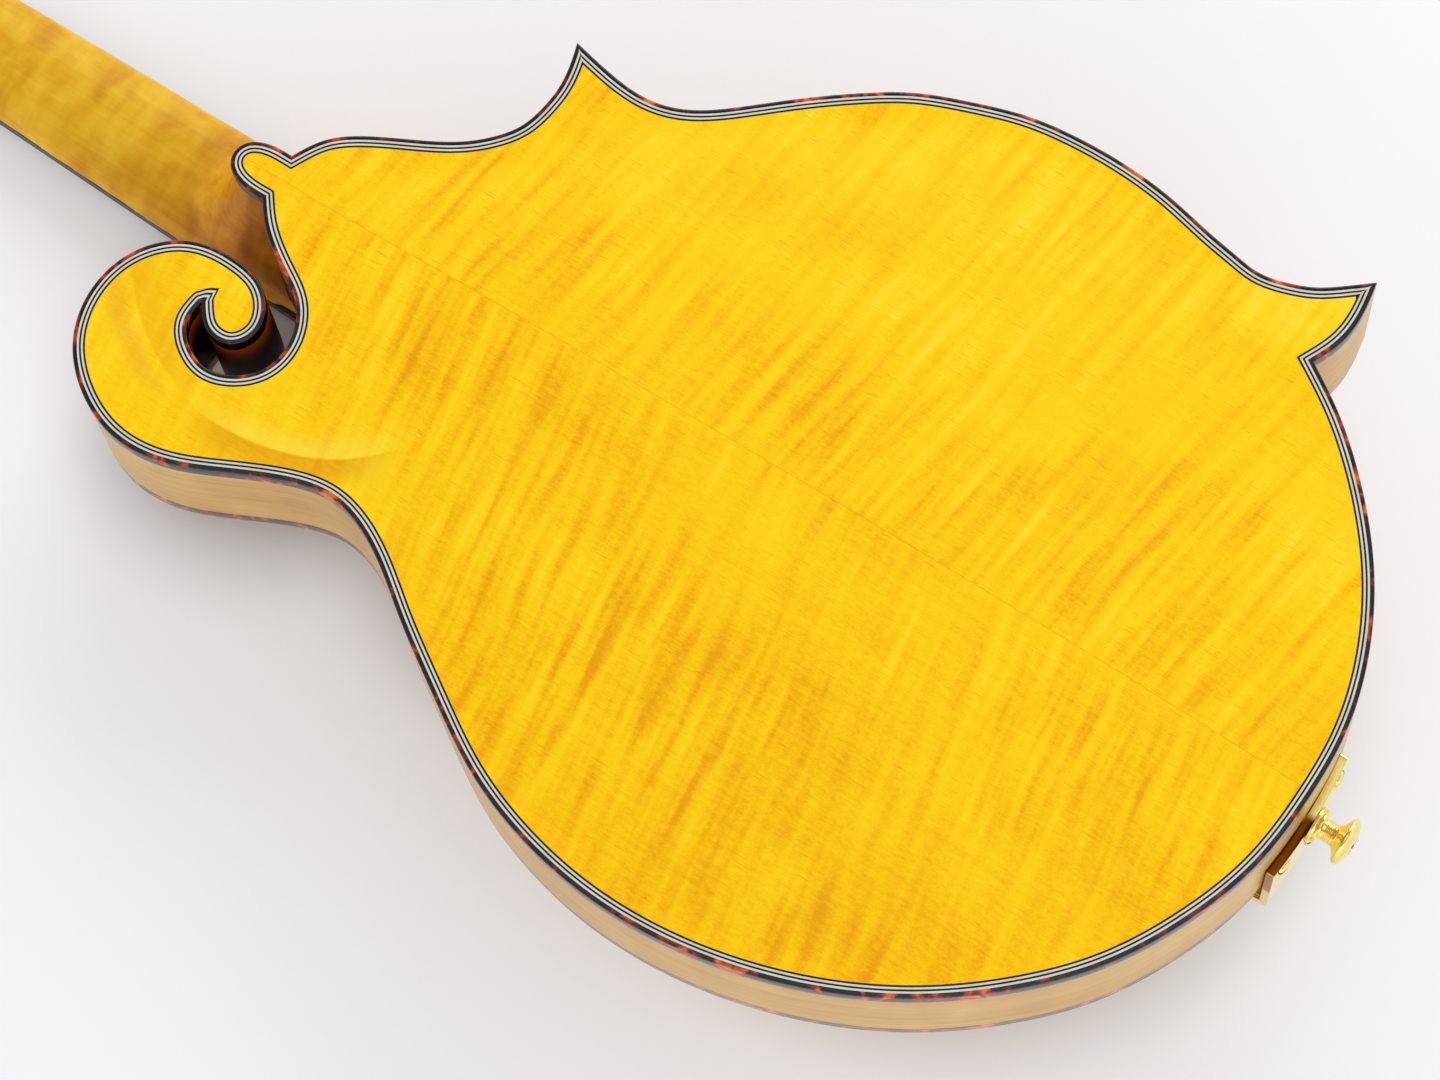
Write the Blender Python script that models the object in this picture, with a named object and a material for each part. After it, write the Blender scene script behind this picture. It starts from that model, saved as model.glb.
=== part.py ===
"""F-style mandolin, lying face down, its back upwards.

The model is drawn in the maker's frame of the body, in millimetres: x runs from the tail to the head along the centre
seam, y towards the bass side, z out of the back. z = 0 is the edge of the face, z = RIM_DEPTH the edge of the back.
The empty "mandolin" then tips that frame so that the plane of the strings is level, because face down the
instrument rests on its strings over the saddle and the nut.
"""

import math

import bmesh
import bpy
import numpy as np
from mathutils import Matrix, Vector, geometry

for old in list(bpy.data.objects):
    bpy.data.objects.remove(old, do_unlink=True)

# ---------------------------------------------------------------- driving dimensions, mm
GAP = 0.3                # clearance between pieces that touch
RIM_DEPTH = 45.0         # face edge to back edge
RIB = 2.0                # thickness of the bent sides
EDGE = 4.0               # thickness of both plates at their edge
BINDING = 1.5            # width of the outer binding
PURFLING = 1.7           # width of the purfling lines together
BACK_ARCH = 7.0          # crown of the back over its edge
TOP_ARCH = 16.0          # crown of the face over its edge
SCALE = 352.4            # nut to saddle
JOINT_FRET = 15          # the fret over the neck joint
JOINT_X = 335.0          # the neck joint, from the tail
BOARD_Z = -14.5          # playing face of the fingerboard over the joint
NECK_ANGLE = math.radians(6.0)
HEAD_ANGLE = math.radians(15.0)
HEAD_DROP = 3.0          # face of the head behind the board's plane at the nut
NUT_WIDTH = 27.0
BOARD_TAPER = 0.0539     # growth of the board's width per mm from the nut
BOARD_THICK = 4.4
FRETS = 22
STRING_OVER_NUT = 2.3    # outer side of the strings over the board at the nut
STRING_OVER_BRIDGE = 4.6  # and over the board's plane at the saddle
POST_ALONG = (31.0, 54.0, 77.0, 100.0)  # tuner posts from the nut, along the head
POST_SIDE = 16.0
COURSES = (("g", 1.02), ("d", 0.66), ("a", 0.41), ("e", 0.28))

JOINT_TO_NUT = SCALE * (1 - 2 ** (-JOINT_FRET / 12))
JOINT_TO_BRIDGE = SCALE - JOINT_TO_NUT
BRIDGE_X = JOINT_X - JOINT_TO_BRIDGE * math.cos(NECK_ANGLE)

# ---------------------------------------------------------------- the template of the body
# Stations of the maker's template for the outer edge of the body, looking at the back, joined by smooth curves.
# Lower bout, treble side, from the corner of the lower point round to the tail.
LOWER_TREBLE = [(61.5, -104.5), (49, -96), (37, -85.5), (26, -73.5), (16.5, -60.5), (9, -46.5), (3.5, -31.5), (0.5, -16), (0, 0)]
# Bass side: lower bout, waist, and the scroll round to the end of its eye.
BASS = [(2.5, 25.5), (10.5, 48.5), (22.5, 69.5), (38.5, 87), (57.5, 102), (78.5, 113.5), (101, 121.5), (124.5, 126),
        (148.5, 126.5), (172, 122.5), (194.5, 114), (215, 101.5), (235, 88), (254.5, 74.5), (269.5, 70), (285, 73.5),
        (299.5, 80), (314.5, 86), (330.5, 87), (345, 81), (356, 69.5), (360, 54), (356, 39), (344.5, 28.5), (329, 26.5),
        (321, 28.5), (315.5, 33.5), (313.5, 41.5), (318, 48), (325.5, 48), (331.5, 42)]
# Wall of the slot behind the eye, out to the corner beside the heel.
SLOT = [(331.5, 42), (331.5, 48.5), (326.5, 54.5), (319.5, 57), (311.5, 54.5), (306, 49), (304, 42), (305.5, 34),
        (310, 27.5), (316.5, 23), (323.5, 18.5), (329.5, 13.5), (334.5, 7.5)]
# Button of the back over the heel.
BUTTON = [(334.5, 7.5), (342, 7), (347.5, 4), (349, 0), (347.5, -4), (342, -7), (334.5, -7.5)]
# Treble side: shoulder to the upper point, the waist between the points, and the hook of the lower point.
SHOULDER = [(334.5, -7.5), (329, -16.5), (323, -21.5), (316, -25.5), (309, -29), (295, -37), (289, -42.5), (284.5, -49),
            (282.5, -56.5), (282, -64.5), (285, -78)]
TREBLE = [(285, -78), (271.5, -75), (263.5, -74), (255.5, -74.5), (248, -77), (235, -86), (222.5, -96.5), (210, -106),
          (196.5, -114.5), (181.5, -120.5), (166.5, -125), (150.5, -127), (134.5, -127), (118.5, -125), (103, -121.5),
          (95, -120), (87.5, -119), (79.5, -120.5), (72, -123.5), (65.5, -128), (58.5, -133.5)]
HOOK = [(58.5, -133.5), (57, -121), (58, -113), (61.5, -104.5)]


def smooth_curve(stations, step):
    """A natural cubic spline through the stations, with a point about every step(x) mm."""
    p = np.array(stations, float)
    count = len(p)
    t = np.r_[0, np.cumsum(np.hypot(*np.diff(p, axis=0).T))]
    h = np.diff(t)
    a = np.eye(count)
    b = np.zeros((count, 2))
    for i in range(1, count - 1):
        a[i, i - 1 : i + 2] = h[i - 1], 2 * (h[i - 1] + h[i]), h[i]
        b[i] = 3 * ((p[i + 1] - p[i]) / h[i] - (p[i] - p[i - 1]) / h[i - 1])
    c = np.linalg.solve(a, b)

    def at(s):
        i = min(int(np.searchsorted(t, s, "right")) - 1, count - 2)
        u = s - t[i]
        slope = (p[i + 1] - p[i]) / h[i] - h[i] * (2 * c[i] + c[i + 1]) / 3
        return p[i] + slope * u + c[i] * u * u + (c[i + 1] - c[i]) / (3 * h[i]) * u**3

    places = [0.0]
    while places[-1] < t[-1]:
        places.append(places[-1] + step(at(places[-1])[0]))
    places = np.array(places) * t[-1] / places[-1]
    return [tuple(at(s)) for s in places]


def body_step(x):
    return 15.0 if x < 262 else 7.6


def body_outline(with_button):
    """The closed outline from the tail over the bass side, and the index of each named place on it."""
    places, points = {}, []

    def add(name, curve):
        places[name] = len(points)
        points.extend(curve[:-1])

    around = smooth_curve(LOWER_TREBLE + BASS, body_step)
    tail = min(range(len(around)), key=lambda i: math.hypot(*around[i]))
    around[tail] = (0.0, 0.0)
    add("tail", around[tail:])
    add("cusp", smooth_curve(SLOT, lambda x: 6.6))
    if with_button:
        add("heel_bass", smooth_curve(BUTTON, lambda x: 4.6))
    else:
        add("heel_bass", [BUTTON[0], BUTTON[-1]])
    add("heel_treble", smooth_curve(SHOULDER, lambda x: 9.0))
    add("upper_tip", smooth_curve(TREBLE, lambda x: 9.8 if x < 84 else 13.0))
    add("lower_tip", smooth_curve(HOOK, lambda x: 9.7))
    add("corner", around[: tail + 1])
    return points, places


def inset(points, width):
    """The closed outline moved inwards by width, mitred at its corners."""
    p = np.array(points, float)
    d1 = p - np.roll(p, 1, 0)
    d2 = np.roll(p, -1, 0) - p
    n1 = np.column_stack([d1[:, 1], -d1[:, 0]]) / np.hypot(*d1.T)[:, None]
    n2 = np.column_stack([d2[:, 1], -d2[:, 0]]) / np.hypot(*d2.T)[:, None]
    dot = (n1 * n2).sum(1)
    return [tuple(q) for q in p + width * (n1 + n2) / (1 + dot)[:, None]]


def inside(points, x, y):
    """True where (x, y) lies inside the closed outline."""
    p = np.array(points)
    q = np.roll(p, -1, 0)
    found = np.zeros(np.shape(x), bool)
    for (x1, y1), (x2, y2) in zip(p, q):
        crosses = (y1 > y) != (y2 > y)
        if y1 != y2:
            found ^= crosses & (x < (x2 - x1) * (y - y1) / (y2 - y1) + x1)
    return found


def distance(points, x, y):
    p = np.array(points)
    q = np.roll(p, -1, 0)
    best = np.full(np.shape(x), 1e9)
    for a, b in zip(p, q):
        d = b - a
        s = np.clip(((x - a[0]) * d[0] + (y - a[1]) * d[1]) / (d @ d), 0, 1)
        best = np.minimum(best, np.hypot(x - a[0] - s * d[0], y - a[1] - s * d[1]))
    return best


class Arching:
    """How the carved plates rise: a membrane held at the purfling, eased into a recurve near the edge."""

    CELL, REACH = 4.0, 38.0

    def __init__(self, edge):
        self.x0, self.y0 = -6.0, -140.0
        gx = self.x0 + self.CELL * np.arange(94)
        gy = self.y0 + self.CELL * np.arange(70)
        x, y = np.meshgrid(gx, gy, indexing="ij")
        held = ~inside(edge, x, y)
        h = np.zeros(x.shape)
        k = (self.CELL / self.REACH) ** 2
        for _ in range(900):
            around = np.roll(h, 1, 0) + np.roll(h, -1, 0) + np.roll(h, 1, 1) + np.roll(h, -1, 1)
            h = (around + k) / (4 + k)
            h[held] = 0
        self.h = h / h.max()

    def __call__(self, x, y):
        u = np.clip((x - self.x0) / self.CELL, 0, self.h.shape[0] - 1.001)
        v = np.clip((y - self.y0) / self.CELL, 0, self.h.shape[1] - 1.001)
        i, j = int(u), int(v)
        u, v = u - i, v - j
        f = (self.h[i, j] * (1 - u) + self.h[i + 1, j] * u) * (1 - v) + (self.h[i, j + 1] * (1 - u) + self.h[i + 1, j + 1] * u) * v
        rise = 1.3 * max(f - 0.18, 0.0) ** 1.35
        return rise - 0.07 * math.exp(-(((f - 0.13) / 0.08) ** 2))


# ---------------------------------------------------------------- making meshes
def material(name, colour, rough, metal=0.0):
    m = bpy.data.materials.new(name)
    m.use_nodes = True
    p = m.node_tree.nodes["Principled BSDF"]
    p.inputs["Base Color"].default_value = (*colour, 1)
    p.inputs["Roughness"].default_value = rough
    p.inputs["Metallic"].default_value = metal
    return m


root = bpy.data.objects.new("mandolin", None)
bpy.context.collection.objects.link(root)

MAPLE = (0.85, 0.55, 0.08)
FINISH = {
    "back": (MAPLE, 0.25, 0), "face": ((0.8, 0.5, 0.12), 0.3, 0), "side": ((0.65, 0.42, 0.2), 0.3, 0),
    "block": ((0.6, 0.4, 0.22), 0.7, 0), "spruce": ((0.75, 0.6, 0.38), 0.7, 0), "tortoise": ((0.06, 0.015, 0.01), 0.2, 0),
    "purfling": ((0.75, 0.72, 0.6), 0.3, 0), "neck": ((0.55, 0.32, 0.05), 0.3, 0), "ebony": ((0.012, 0.011, 0.01), 0.4, 0),
    "bone": ((0.8, 0.76, 0.62), 0.4, 0), "gold": ((0.8, 0.58, 0.2), 0.2, 1), "steel": ((0.6, 0.6, 0.6), 0.3, 1),
    "bronze": ((0.6, 0.38, 0.18), 0.35, 1), "pearl": ((0.85, 0.83, 0.76), 0.25, 0), "black": ((0.02, 0.02, 0.02), 0.35, 0),
}


def finished(obj, finish):
    colour, rough, metal = FINISH[finish]
    obj.data.materials.append(material(obj.name, colour, rough, metal))
    return obj


def solid(name, points, faces, finish, matrix=None, smooth=None, cutter=False):
    """A closed mesh from points in mm, under the body's empty or at matrix in its frame."""
    bm = bmesh.new()
    verts = [bm.verts.new(Vector(p) * 0.001) for p in points]
    for face in faces:
        if len(set(face)) > 2:
            bm.faces.new([verts[i] for i in face])
    bmesh.ops.recalc_face_normals(bm, faces=bm.faces)
    mesh = bpy.data.meshes.new(name)
    bm.to_mesh(mesh)
    bm.free()
    obj = bpy.data.objects.new(name, mesh)
    bpy.context.collection.objects.link(obj)
    obj.parent = root
    if matrix is not None:
        place = matrix.copy()
        place.translation = matrix.translation * 0.001
        obj.matrix_local = place
    if smooth is not None:
        mesh.shade_smooth()
        mesh.set_sharp_from_angle(angle=math.radians(smooth))
    if cutter:
        obj.hide_render = True
        obj.display_type = "WIRE"
    else:
        finished(obj, finish)
    return obj


def boolean(obj, other, operation="DIFFERENCE"):
    m = obj.modifiers.new(operation.lower(), "BOOLEAN")
    m.operation = operation
    m.object = other
    other.hide_render = True
    other.display_type = "WIRE"
    return obj


def rings(levels, closed=True, caps=True):
    """Points and faces of a skin over rings of equally many points."""
    n = len(levels[0])
    points = [p for ring in levels for p in ring]
    faces = []
    for k in range(len(levels) - 1):
        for i in range(n if closed else n - 1):
            j = (i + 1) % n
            faces.append((k * n + i, k * n + j, (k + 1) * n + j, (k + 1) * n + i))
    if caps:
        faces.append(tuple(range(n))[::-1])
        faces.append(tuple((len(levels) - 1) * n + i for i in range(n)))
    return points, faces


def prism(name, outline, z0, z1, finish, **more):
    points, faces = rings([[(x, y, z0) for x, y in outline], [(x, y, z1) for x, y in outline]])
    return solid(name, points, faces, finish, **more)


def box(name, low, high, finish, **more):
    (x0, y0, z0), (x1, y1, z1) = low, high
    return prism(name, [(x0, y0), (x1, y0), (x1, y1), (x0, y1)], z0, z1, finish, **more)


def loop_of(section, closed=True):
    """Points and faces of a bar whose cross-section is given at each place along it; closed joins its ends."""
    n = len(section[0])
    points = [p for ring in section for p in ring]
    faces = []
    count = len(section)
    for k in range(count if closed else count - 1):
        m = (k + 1) % count
        for i in range(n):
            j = (i + 1) % n
            faces.append((k * n + i, k * n + j, m * n + j, m * n + i))
    if not closed:
        faces.append(tuple(range(n))[::-1])
        faces.append(tuple((count - 1) * n + i for i in range(n)))
    return points, faces


def turned(name, profile, sides, finish, matrix=None, smooth=35, cutter=False, turn=0.0):
    """A turned piece about its own z axis; profile is (radius, z) from its lower end to its upper."""
    points, faces, rows = [], [], []
    for r, z in profile:
        if r == 0:
            rows.append([len(points)] * sides)
            points.append((0, 0, z))
        else:
            rows.append(list(range(len(points), len(points) + sides)))
            points += [(r * math.cos(turn + math.tau * i / sides), r * math.sin(turn + math.tau * i / sides), z) for i in range(sides)]
    for a, b in zip(rows, rows[1:]):
        for i in range(sides):
            j = (i + 1) % sides
            face = []
            for v in (a[i], a[j], b[j], b[i]):
                if v not in face:
                    face.append(v)
            if len(face) > 2:
                faces.append(tuple(face))
    for row, r in ((rows[0], profile[0][0]), (rows[-1], profile[-1][0])):
        if r:
            faces.append(tuple(row))
    return solid(name, points, faces, finish, matrix=matrix, smooth=smooth, cutter=cutter)


def rod(name, radius, length, sides, finish, matrix, **more):
    return turned(name, [(radius, 0), (radius, length)], sides, finish, matrix=matrix, **more)


def wire(name, path, radius, sides, finish):
    """A wire of round section along a path in the body's frame."""
    p = [Vector(q) for q in path]
    levels = []
    for i, q in enumerate(p):
        along = (p[min(i + 1, len(p) - 1)] - p[max(i - 1, 0)]).normalized()
        side = Vector((0, 1, 0)).cross(along).normalized()
        up = along.cross(side)
        levels.append([tuple(q + radius * (math.cos(math.tau * k / sides) * side + math.sin(math.tau * k / sides) * up)) for k in range(sides)])
    points, faces = rings(levels)
    return solid(name, points, faces, finish, smooth=50)


# ---------------------------------------------------------------- frames along the neck
def frame_at(x, z, angle):
    """Local x towards the head, z out of the back, tipped back by angle."""
    return Matrix.Translation((x, 0, z)) @ Matrix.Rotation(-angle, 4, "Y")


NECK = frame_at(JOINT_X, BOARD_Z, NECK_ANGLE)
nut_end = NECK @ Vector((JOINT_TO_NUT + 5.0, 0, HEAD_DROP))
HEAD = frame_at(nut_end.x, nut_end.z, NECK_ANGLE + HEAD_ANGLE)

back_outline, back_at = body_outline(True)
face_outline, face_at = body_outline(False)
arch = Arching(inset(back_outline, 3.6))


def board_half(x):
    """Half width of the fingerboard at x of the neck's frame."""
    return (NUT_WIDTH + (JOINT_TO_NUT - x) * BOARD_TAPER) / 2


# ---------------------------------------------------------------- plates
def carved_plate(name, outline, crown, edge_z, out, finish, block_x, spacing=22.0):
    """A carved plate with a ledge for the purfling; out is +1 for the back and -1 for the face."""
    low = inset(outline, BINDING + GAP)
    high = inset(outline, BINDING + PURFLING + 2 * GAP)
    n = len(outline)

    def surface(ring, height):
        far = distance(ring, *np.array(grid).T)
        keep = [g for g, d, i in zip(grid, far, inside(ring, *np.array(grid).T)) if i and d > 7]
        flat = [Vector(q) for q in ring] + [Vector(g) for g in keep]
        made = geometry.delaunay_2d_cdt(flat, [], [list(range(n))], 1, 1e-6)
        verts, tris, origin = made[0], made[2], made[3]
        spots = [(v.x, v.y, edge_z + out * height(v.x, v.y)) for v in verts]
        return spots, [list(t) for t in tris], [o[0] if o else -1 for o in origin]

    grid = []
    row = 0
    x = 3.0
    while x < 366:
        y = -136 + (spacing / 2 if row % 2 else 0)
        while y < 132:
            grid.append((x, y))
            y += spacing
        x += spacing * 0.87
        row += 1

    def under(x, y):
        depth = float(distance(low, np.array([x]), np.array([y]))[0])
        if depth < 8 or x > block_x or x < 24:
            return -EDGE
        return max(-EDGE, crown * arch(x, y) - 3.9)

    points, faces = [], []

    def add(spots, tris, origin, ring_base):
        """Adds a surface, its rim vertices taken from the ring already placed at ring_base."""
        index = {}
        for i, o in enumerate(origin):
            if 0 <= o < n:
                index[i] = ring_base + o
            else:
                index[i] = len(points)
                points.append(spots[i])
        faces.extend(tuple(index[v] for v in t) for t in tris)

    def ring(outline_2d, height):
        base = len(points)
        points.extend((x, y, edge_z + out * height) for x, y in outline_2d)
        return base

    def wall(a, b):
        faces.extend((a + i, a + (i + 1) % n, b + (i + 1) % n, b + i) for i in range(n))

    bottom = ring(low, -EDGE)
    shelf = ring(low, -EDGE / 2)
    foot = ring(high, -EDGE / 2)
    lip = ring(high, 0.0)
    wall(bottom, shelf)
    wall(shelf, foot)
    wall(foot, lip)
    add(*surface(high, lambda x, y: crown * arch(x, y)), lip)
    add(*surface(low, under), bottom)
    return solid(name, points, faces, finish, smooth=40)


back_plate = carved_plate("back_plate", back_outline, BACK_ARCH, RIM_DEPTH, 1, "back", 284)
top_plate = carved_plate("top_plate", face_outline, TOP_ARCH, 0.0, -1, "face", 284)


def f_hole(side):
    """Outline of an f-hole: two round eyes joined by a long slot on an S curve."""
    left, right = [], []
    for k in range(17):
        s = -1 + 2 * k / 16
        x = 178 + 39 * s
        y = 57 + 6.5 * s + 7.5 * math.sin(math.pi * s)
        along = Vector((39, 6.5 + 7.5 * math.pi * math.cos(math.pi * s))).normalized()
        half = 1.2 + 1.3 * (1 - s * s)
        for centre, r in ((-0.9, 4.6), (0.9, 3.8)):
            reach = abs(s - centre) * 39
            if reach < r:
                half = max(half, math.sqrt(r * r - reach * reach))
        left.append((x - along.y * half, side * (y + along.x * half)))
        right.append((x + along.y * half, side * (y - along.x * half)))
    return left + right[::-1]


for word, side in (("bass", 1), ("treble", -1)):
    boolean(top_plate, prism(f"cut_f_{word}", f_hole(side), -20, 8, "ebony", cutter=True))


def band(name, outline, out0, out1, z0, z1, finish):
    """A closed band around the body, between two insets and two heights."""
    a, b = inset(outline, out0), inset(outline, out1)
    section = [[(*p, z0), (*q, z0), (*q, z1), (*p, z1)] for p, q in zip(a, b)]
    points, faces = loop_of(section)
    return solid(name, points, faces, finish, smooth=40)


band("binding_back", back_outline, 0, BINDING, RIM_DEPTH - EDGE, RIM_DEPTH, "tortoise")
band("binding_top", face_outline, 0, BINDING, 0, EDGE, "tortoise")
band("purfling_back", back_outline, BINDING + GAP, BINDING + GAP + PURFLING, RIM_DEPTH - EDGE / 2 + GAP, RIM_DEPTH, "purfling")
band("purfling_top", face_outline, BINDING + GAP, BINDING + GAP + PURFLING, 0, EDGE / 2 - GAP, "purfling")

# ---------------------------------------------------------------- sides
RIB_LOW, RIB_HIGH = EDGE + GAP, RIM_DEPTH - EDGE - GAP
ribs_out, ribs_in = face_outline, inset(face_outline, RIB)


def rib(name, start, stop, from_heel=False, to_heel=False):
    """A bent side from one named place of the outline to another, its ends cut on the mitre with a gap."""
    count = len(face_outline)
    i, j = face_at[start], face_at[stop]
    if j <= i:
        j += count
    out = [Vector(ribs_out[k % count]) for k in range(i, j + 1)]
    inn = [Vector(ribs_in[k % count]) for k in range(i, j + 1)]
    for line in (out, inn):
        line[0] = line[0] + (line[1] - line[0]).normalized() * (GAP / 2 + 0.02)
        line[-1] = line[-1] + (line[-2] - line[-1]).normalized() * (GAP / 2 + 0.02)
    section = [[(*p, RIB_LOW), (*q, RIB_LOW), (*q, RIB_HIGH), (*p, RIB_HIGH)] for p, q in zip(out, inn)]
    points, faces = loop_of(section, closed=False)
    return solid(name, points, faces, "side", smooth=40)


rim_bass = rib("rim_bass", "tail", "heel_bass")
rib("rim_shoulder", "heel_treble", "upper_tip")
rib("rim_waist", "upper_tip", "lower_tip")
rim_lower = rib("rim_lower", "lower_tip", "tail")

# ---------------------------------------------------------------- linings
count = len(face_outline)
lining_line = []
for k, (x, y) in enumerate(inset(face_outline, RIB + GAP)):
    if face_at["cusp"] > k and x < 276:
        lining_line.append((x, y))
waist_side = [(x, y) for k, (x, y) in enumerate(inset(face_outline, RIB + GAP)) if face_at["upper_tip"] < k < face_at["lower_tip"] and 80 < x < 266]
tail_side = [(x, y) for k, (x, y) in enumerate(inset(face_outline, RIB + GAP)) if k > face_at["corner"] and x < 53]
lining_path = waist_side + tail_side + lining_line


def lining(name, z_plate, z_end):
    """A C-shaped strip along the inside of the sides, from the head block round the tail, tapered in section."""
    p = np.array(lining_path)
    d = np.gradient(p, axis=0)
    nrm = np.column_stack([d[:, 1], -d[:, 0]]) / np.hypot(*d.T)[:, None]
    wide, thin = p + 4.2 * nrm, p + 1.4 * nrm
    section = [[(*a, z_plate), (*b, z_plate), (*c, z_end), (*a, z_end)] for a, b, c in zip(p, wide, thin)]
    points, faces = loop_of(section, closed=False)
    return solid(name, points, faces, "block", smooth=40)


lining("lining_top", EDGE + GAP, EDGE + GAP + 9)
lining("lining_back", RIM_DEPTH - EDGE - GAP, RIM_DEPTH - EDGE - GAP - 9)


inner = inset(face_outline, RIB + GAP)

# ---------------------------------------------------------------- blocks
head_points = [q for k, q in enumerate(inner) if k < face_at["heel_bass"] and (q[0] > 280 or k > face_at["cusp"] - 1)]
head_points += [(JOINT_X - 2.6, 6.0), (JOINT_X - 2.6, -6.0)]
head_points += [q for k, q in enumerate(inner) if face_at["heel_treble"] < k < face_at["upper_tip"] and q[0] > 299]
head_block = prism("head_block", head_points, EDGE + GAP, RIM_DEPTH - EDGE - GAP, "block")


def tail_places(width):
    """The tail's inside at one inset, from the treble side to the bass side, closed by the block's own face."""
    line = inset(face_outline, width)
    treble = [q for k, q in enumerate(line) if k > face_at["corner"] and face_outline[k][1] > -34 and face_outline[k][0] < 20]
    bass = [q for k, q in enumerate(line) if k < face_at["cusp"] and face_outline[k][1] < 34 and face_outline[k][0] < 20]
    return treble + bass + [(24.0, 26.0), (24.0, -26.0)]


# It fills the height between the plates, and is notched over both linings.
full, notched = tail_places(RIB + GAP), tail_places(RIB + 2 * GAP + 4.4)
points, faces = rings([[(x, y, z) for x, y in line] for line, z in (
    (notched, EDGE + GAP), (notched, EDGE + 10.0), (full, EDGE + 10.0),
    (full, RIM_DEPTH - EDGE - 10.0), (notched, RIM_DEPTH - EDGE - 10.0), (notched, RIM_DEPTH - EDGE - GAP))])
tail_block = solid("tail_block", points, faces, "block")

lower = [q for k, q in enumerate(inner) if face_at["lower_tip"] - 3 < k < face_at["corner"]]
upper = [q for k, q in enumerate(inner) if face_at["upper_tip"] - 4 < k < face_at["upper_tip"] + 2]


def point_block(name, places):
    """A block that fills a point of the body, outside the linings."""
    c = np.array(places).mean(0)
    pts = [tuple(np.array(q) + (c - np.array(q)) / np.hypot(*(c - np.array(q))) * 0.1) for q in places]
    return prism(name, pts, EDGE + GAP, RIM_DEPTH - EDGE - GAP, "block")


point_block("point_block_lower", lower)
point_block("point_block_upper", upper)


# ---------------------------------------------------------------- tone bars
def tone_bar(name, side):
    """A spruce bar glued under the face, its edge fitted to the arch."""
    half = 3.0
    low, high = [], []
    for k in range(17):
        x = 84 + 188 * k / 16
        y = side * (34 - 10 * k / 16)
        under_face = min(max(-EDGE, TOP_ARCH * arch(x, y + s) - 3.9) for s in (-5, 0, 5))
        z = -under_face + 1.0
        tall = 2.5 + 9.5 * math.sin(math.pi * (k + 0.6) / 17.2) ** 0.8
        low.append((x, y, z))
        high.append((x, y, z + tall))
    section = [[(x, y - half, z), (x, y + half, z), (u, v + half * 0.6, w), (u, v - half * 0.6, w)] for (x, y, z), (u, v, w) in zip(low, high)]
    points, faces = loop_of(section, closed=False)
    return solid(name, points, faces, "spruce")


tone_bar("tone_bar_bass", 1)
tone_bar("tone_bar_treble", -1)

# ---------------------------------------------------------------- neck and head
NECK_TOP = BOARD_THICK + GAP  # underside of the fingerboard, where the neck's wood begins


def neck_section(x, depth, half, power=0.85):
    """A section of the shaft across the neck's frame: flat under the board, rounded behind."""
    ring = [(x, half, NECK_TOP)]
    for k in range(1, 10):
        a = math.pi * k / 10
        ring.append((x, half * math.copysign(abs(math.cos(a)) ** 0.9, math.cos(a)), NECK_TOP + 1.2 + (depth - 1.2) * math.sin(a) ** power))
    ring.append((x, -half, NECK_TOP))
    return ring


levels = []
for k in range(8):
    x = 2 + (JOINT_TO_NUT + 1 - 2) * k / 7
    levels.append(neck_section(x, 15.5 - 2.0 * k / 7, board_half(x) - 0.3))
points, faces = rings(levels)
neck = solid("neck", points, faces, "neck", matrix=NECK, smooth=40)

# Heel: it fills the step from the shaft down to the button of the back.
levels = []
for z, half, nose in ((-10.5, 18.2, 362), (-2, 18.2, 366), (6, 17.0, 367), (12, 14.5, 360), (20, 11.5, 353.5), (30, 8.8, 350), (40.6, 7.3, 348.6)):
    ring = []
    for k in range(9):
        a = math.pi * (k / 8 - 0.5)
        ring.append((JOINT_X + 1 + (nose - JOINT_X - 1) * math.cos(a) ** 0.7 if k not in (0, 8) else JOINT_X + 1, half * math.sin(a), z))
    ring += [(JOINT_X - 12, half, z), (JOINT_X - 12, -half, z)]
    levels.append(ring)
points, faces = rings(levels)
heel = solid("cut_heel", points, faces, "neck", smooth=40, cutter=True)
around_body = [(x, y) for x, y in inset(face_outline, -GAP)]
boolean(heel, prism("cut_body", around_body, -0.4, RIM_DEPTH, "neck", cutter=True))
boolean(heel, box("cut_board_room", (-80, -30, -30), (90, 30, NECK_TOP), "neck", matrix=NECK, cutter=True))
boolean(neck, heel, "UNION")

# Dovetail into the head block, with its pocket.
boolean(neck, prism("cut_tenon", [(JOINT_X + 4, 5.6), (JOINT_X - 3, 5.6), (JOINT_X - 24, 11), (JOINT_X - 24, -11), (JOINT_X - 3, -5.6), (JOINT_X + 4, -5.6)], 6, 38.5, "neck", cutter=True), "UNION")
boolean(head_block, prism("cut_pocket", [(JOINT_X + 4, 6.0), (JOINT_X - 3, 6.0), (JOINT_X - 24.4, 11.5), (JOINT_X - 24.4, -11.5), (JOINT_X - 3, -6.0), (JOINT_X + 4, -6.0)], 3, 39.0, "neck", cutter=True))

# Riser that carries the end of the fingerboard over the face.
levels = []
for x, z1 in ((-55, 9.4), (-30, 10.2), (2, 12.6), (6, 12.6)):
    h = board_half(x) - 1.2
    levels.append([(x, h, NECK_TOP), (x, h - 1, z1), (x, -h + 1, z1), (x, -h, NECK_TOP)])
points, faces = rings(levels)
boolean(neck, solid("cut_riser", points, faces, "neck", matrix=NECK, cutter=True), "UNION")

# Head: a plain tapered blade with a soft crest, in the head's frame; its overlay's face is z = 0.
OVERLAY = 2.0
HEAD_BACK = 16.0
HEAD_EDGE = [(0, 14.2), (7, 16.5), (15, 21.5), (24, 26.0), (45, 28.0), (72, 28.5), (98, 27.0), (116, 22.5), (126, 20.0), (133, 14.0), (137, 7.0), (138, 0)]


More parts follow.
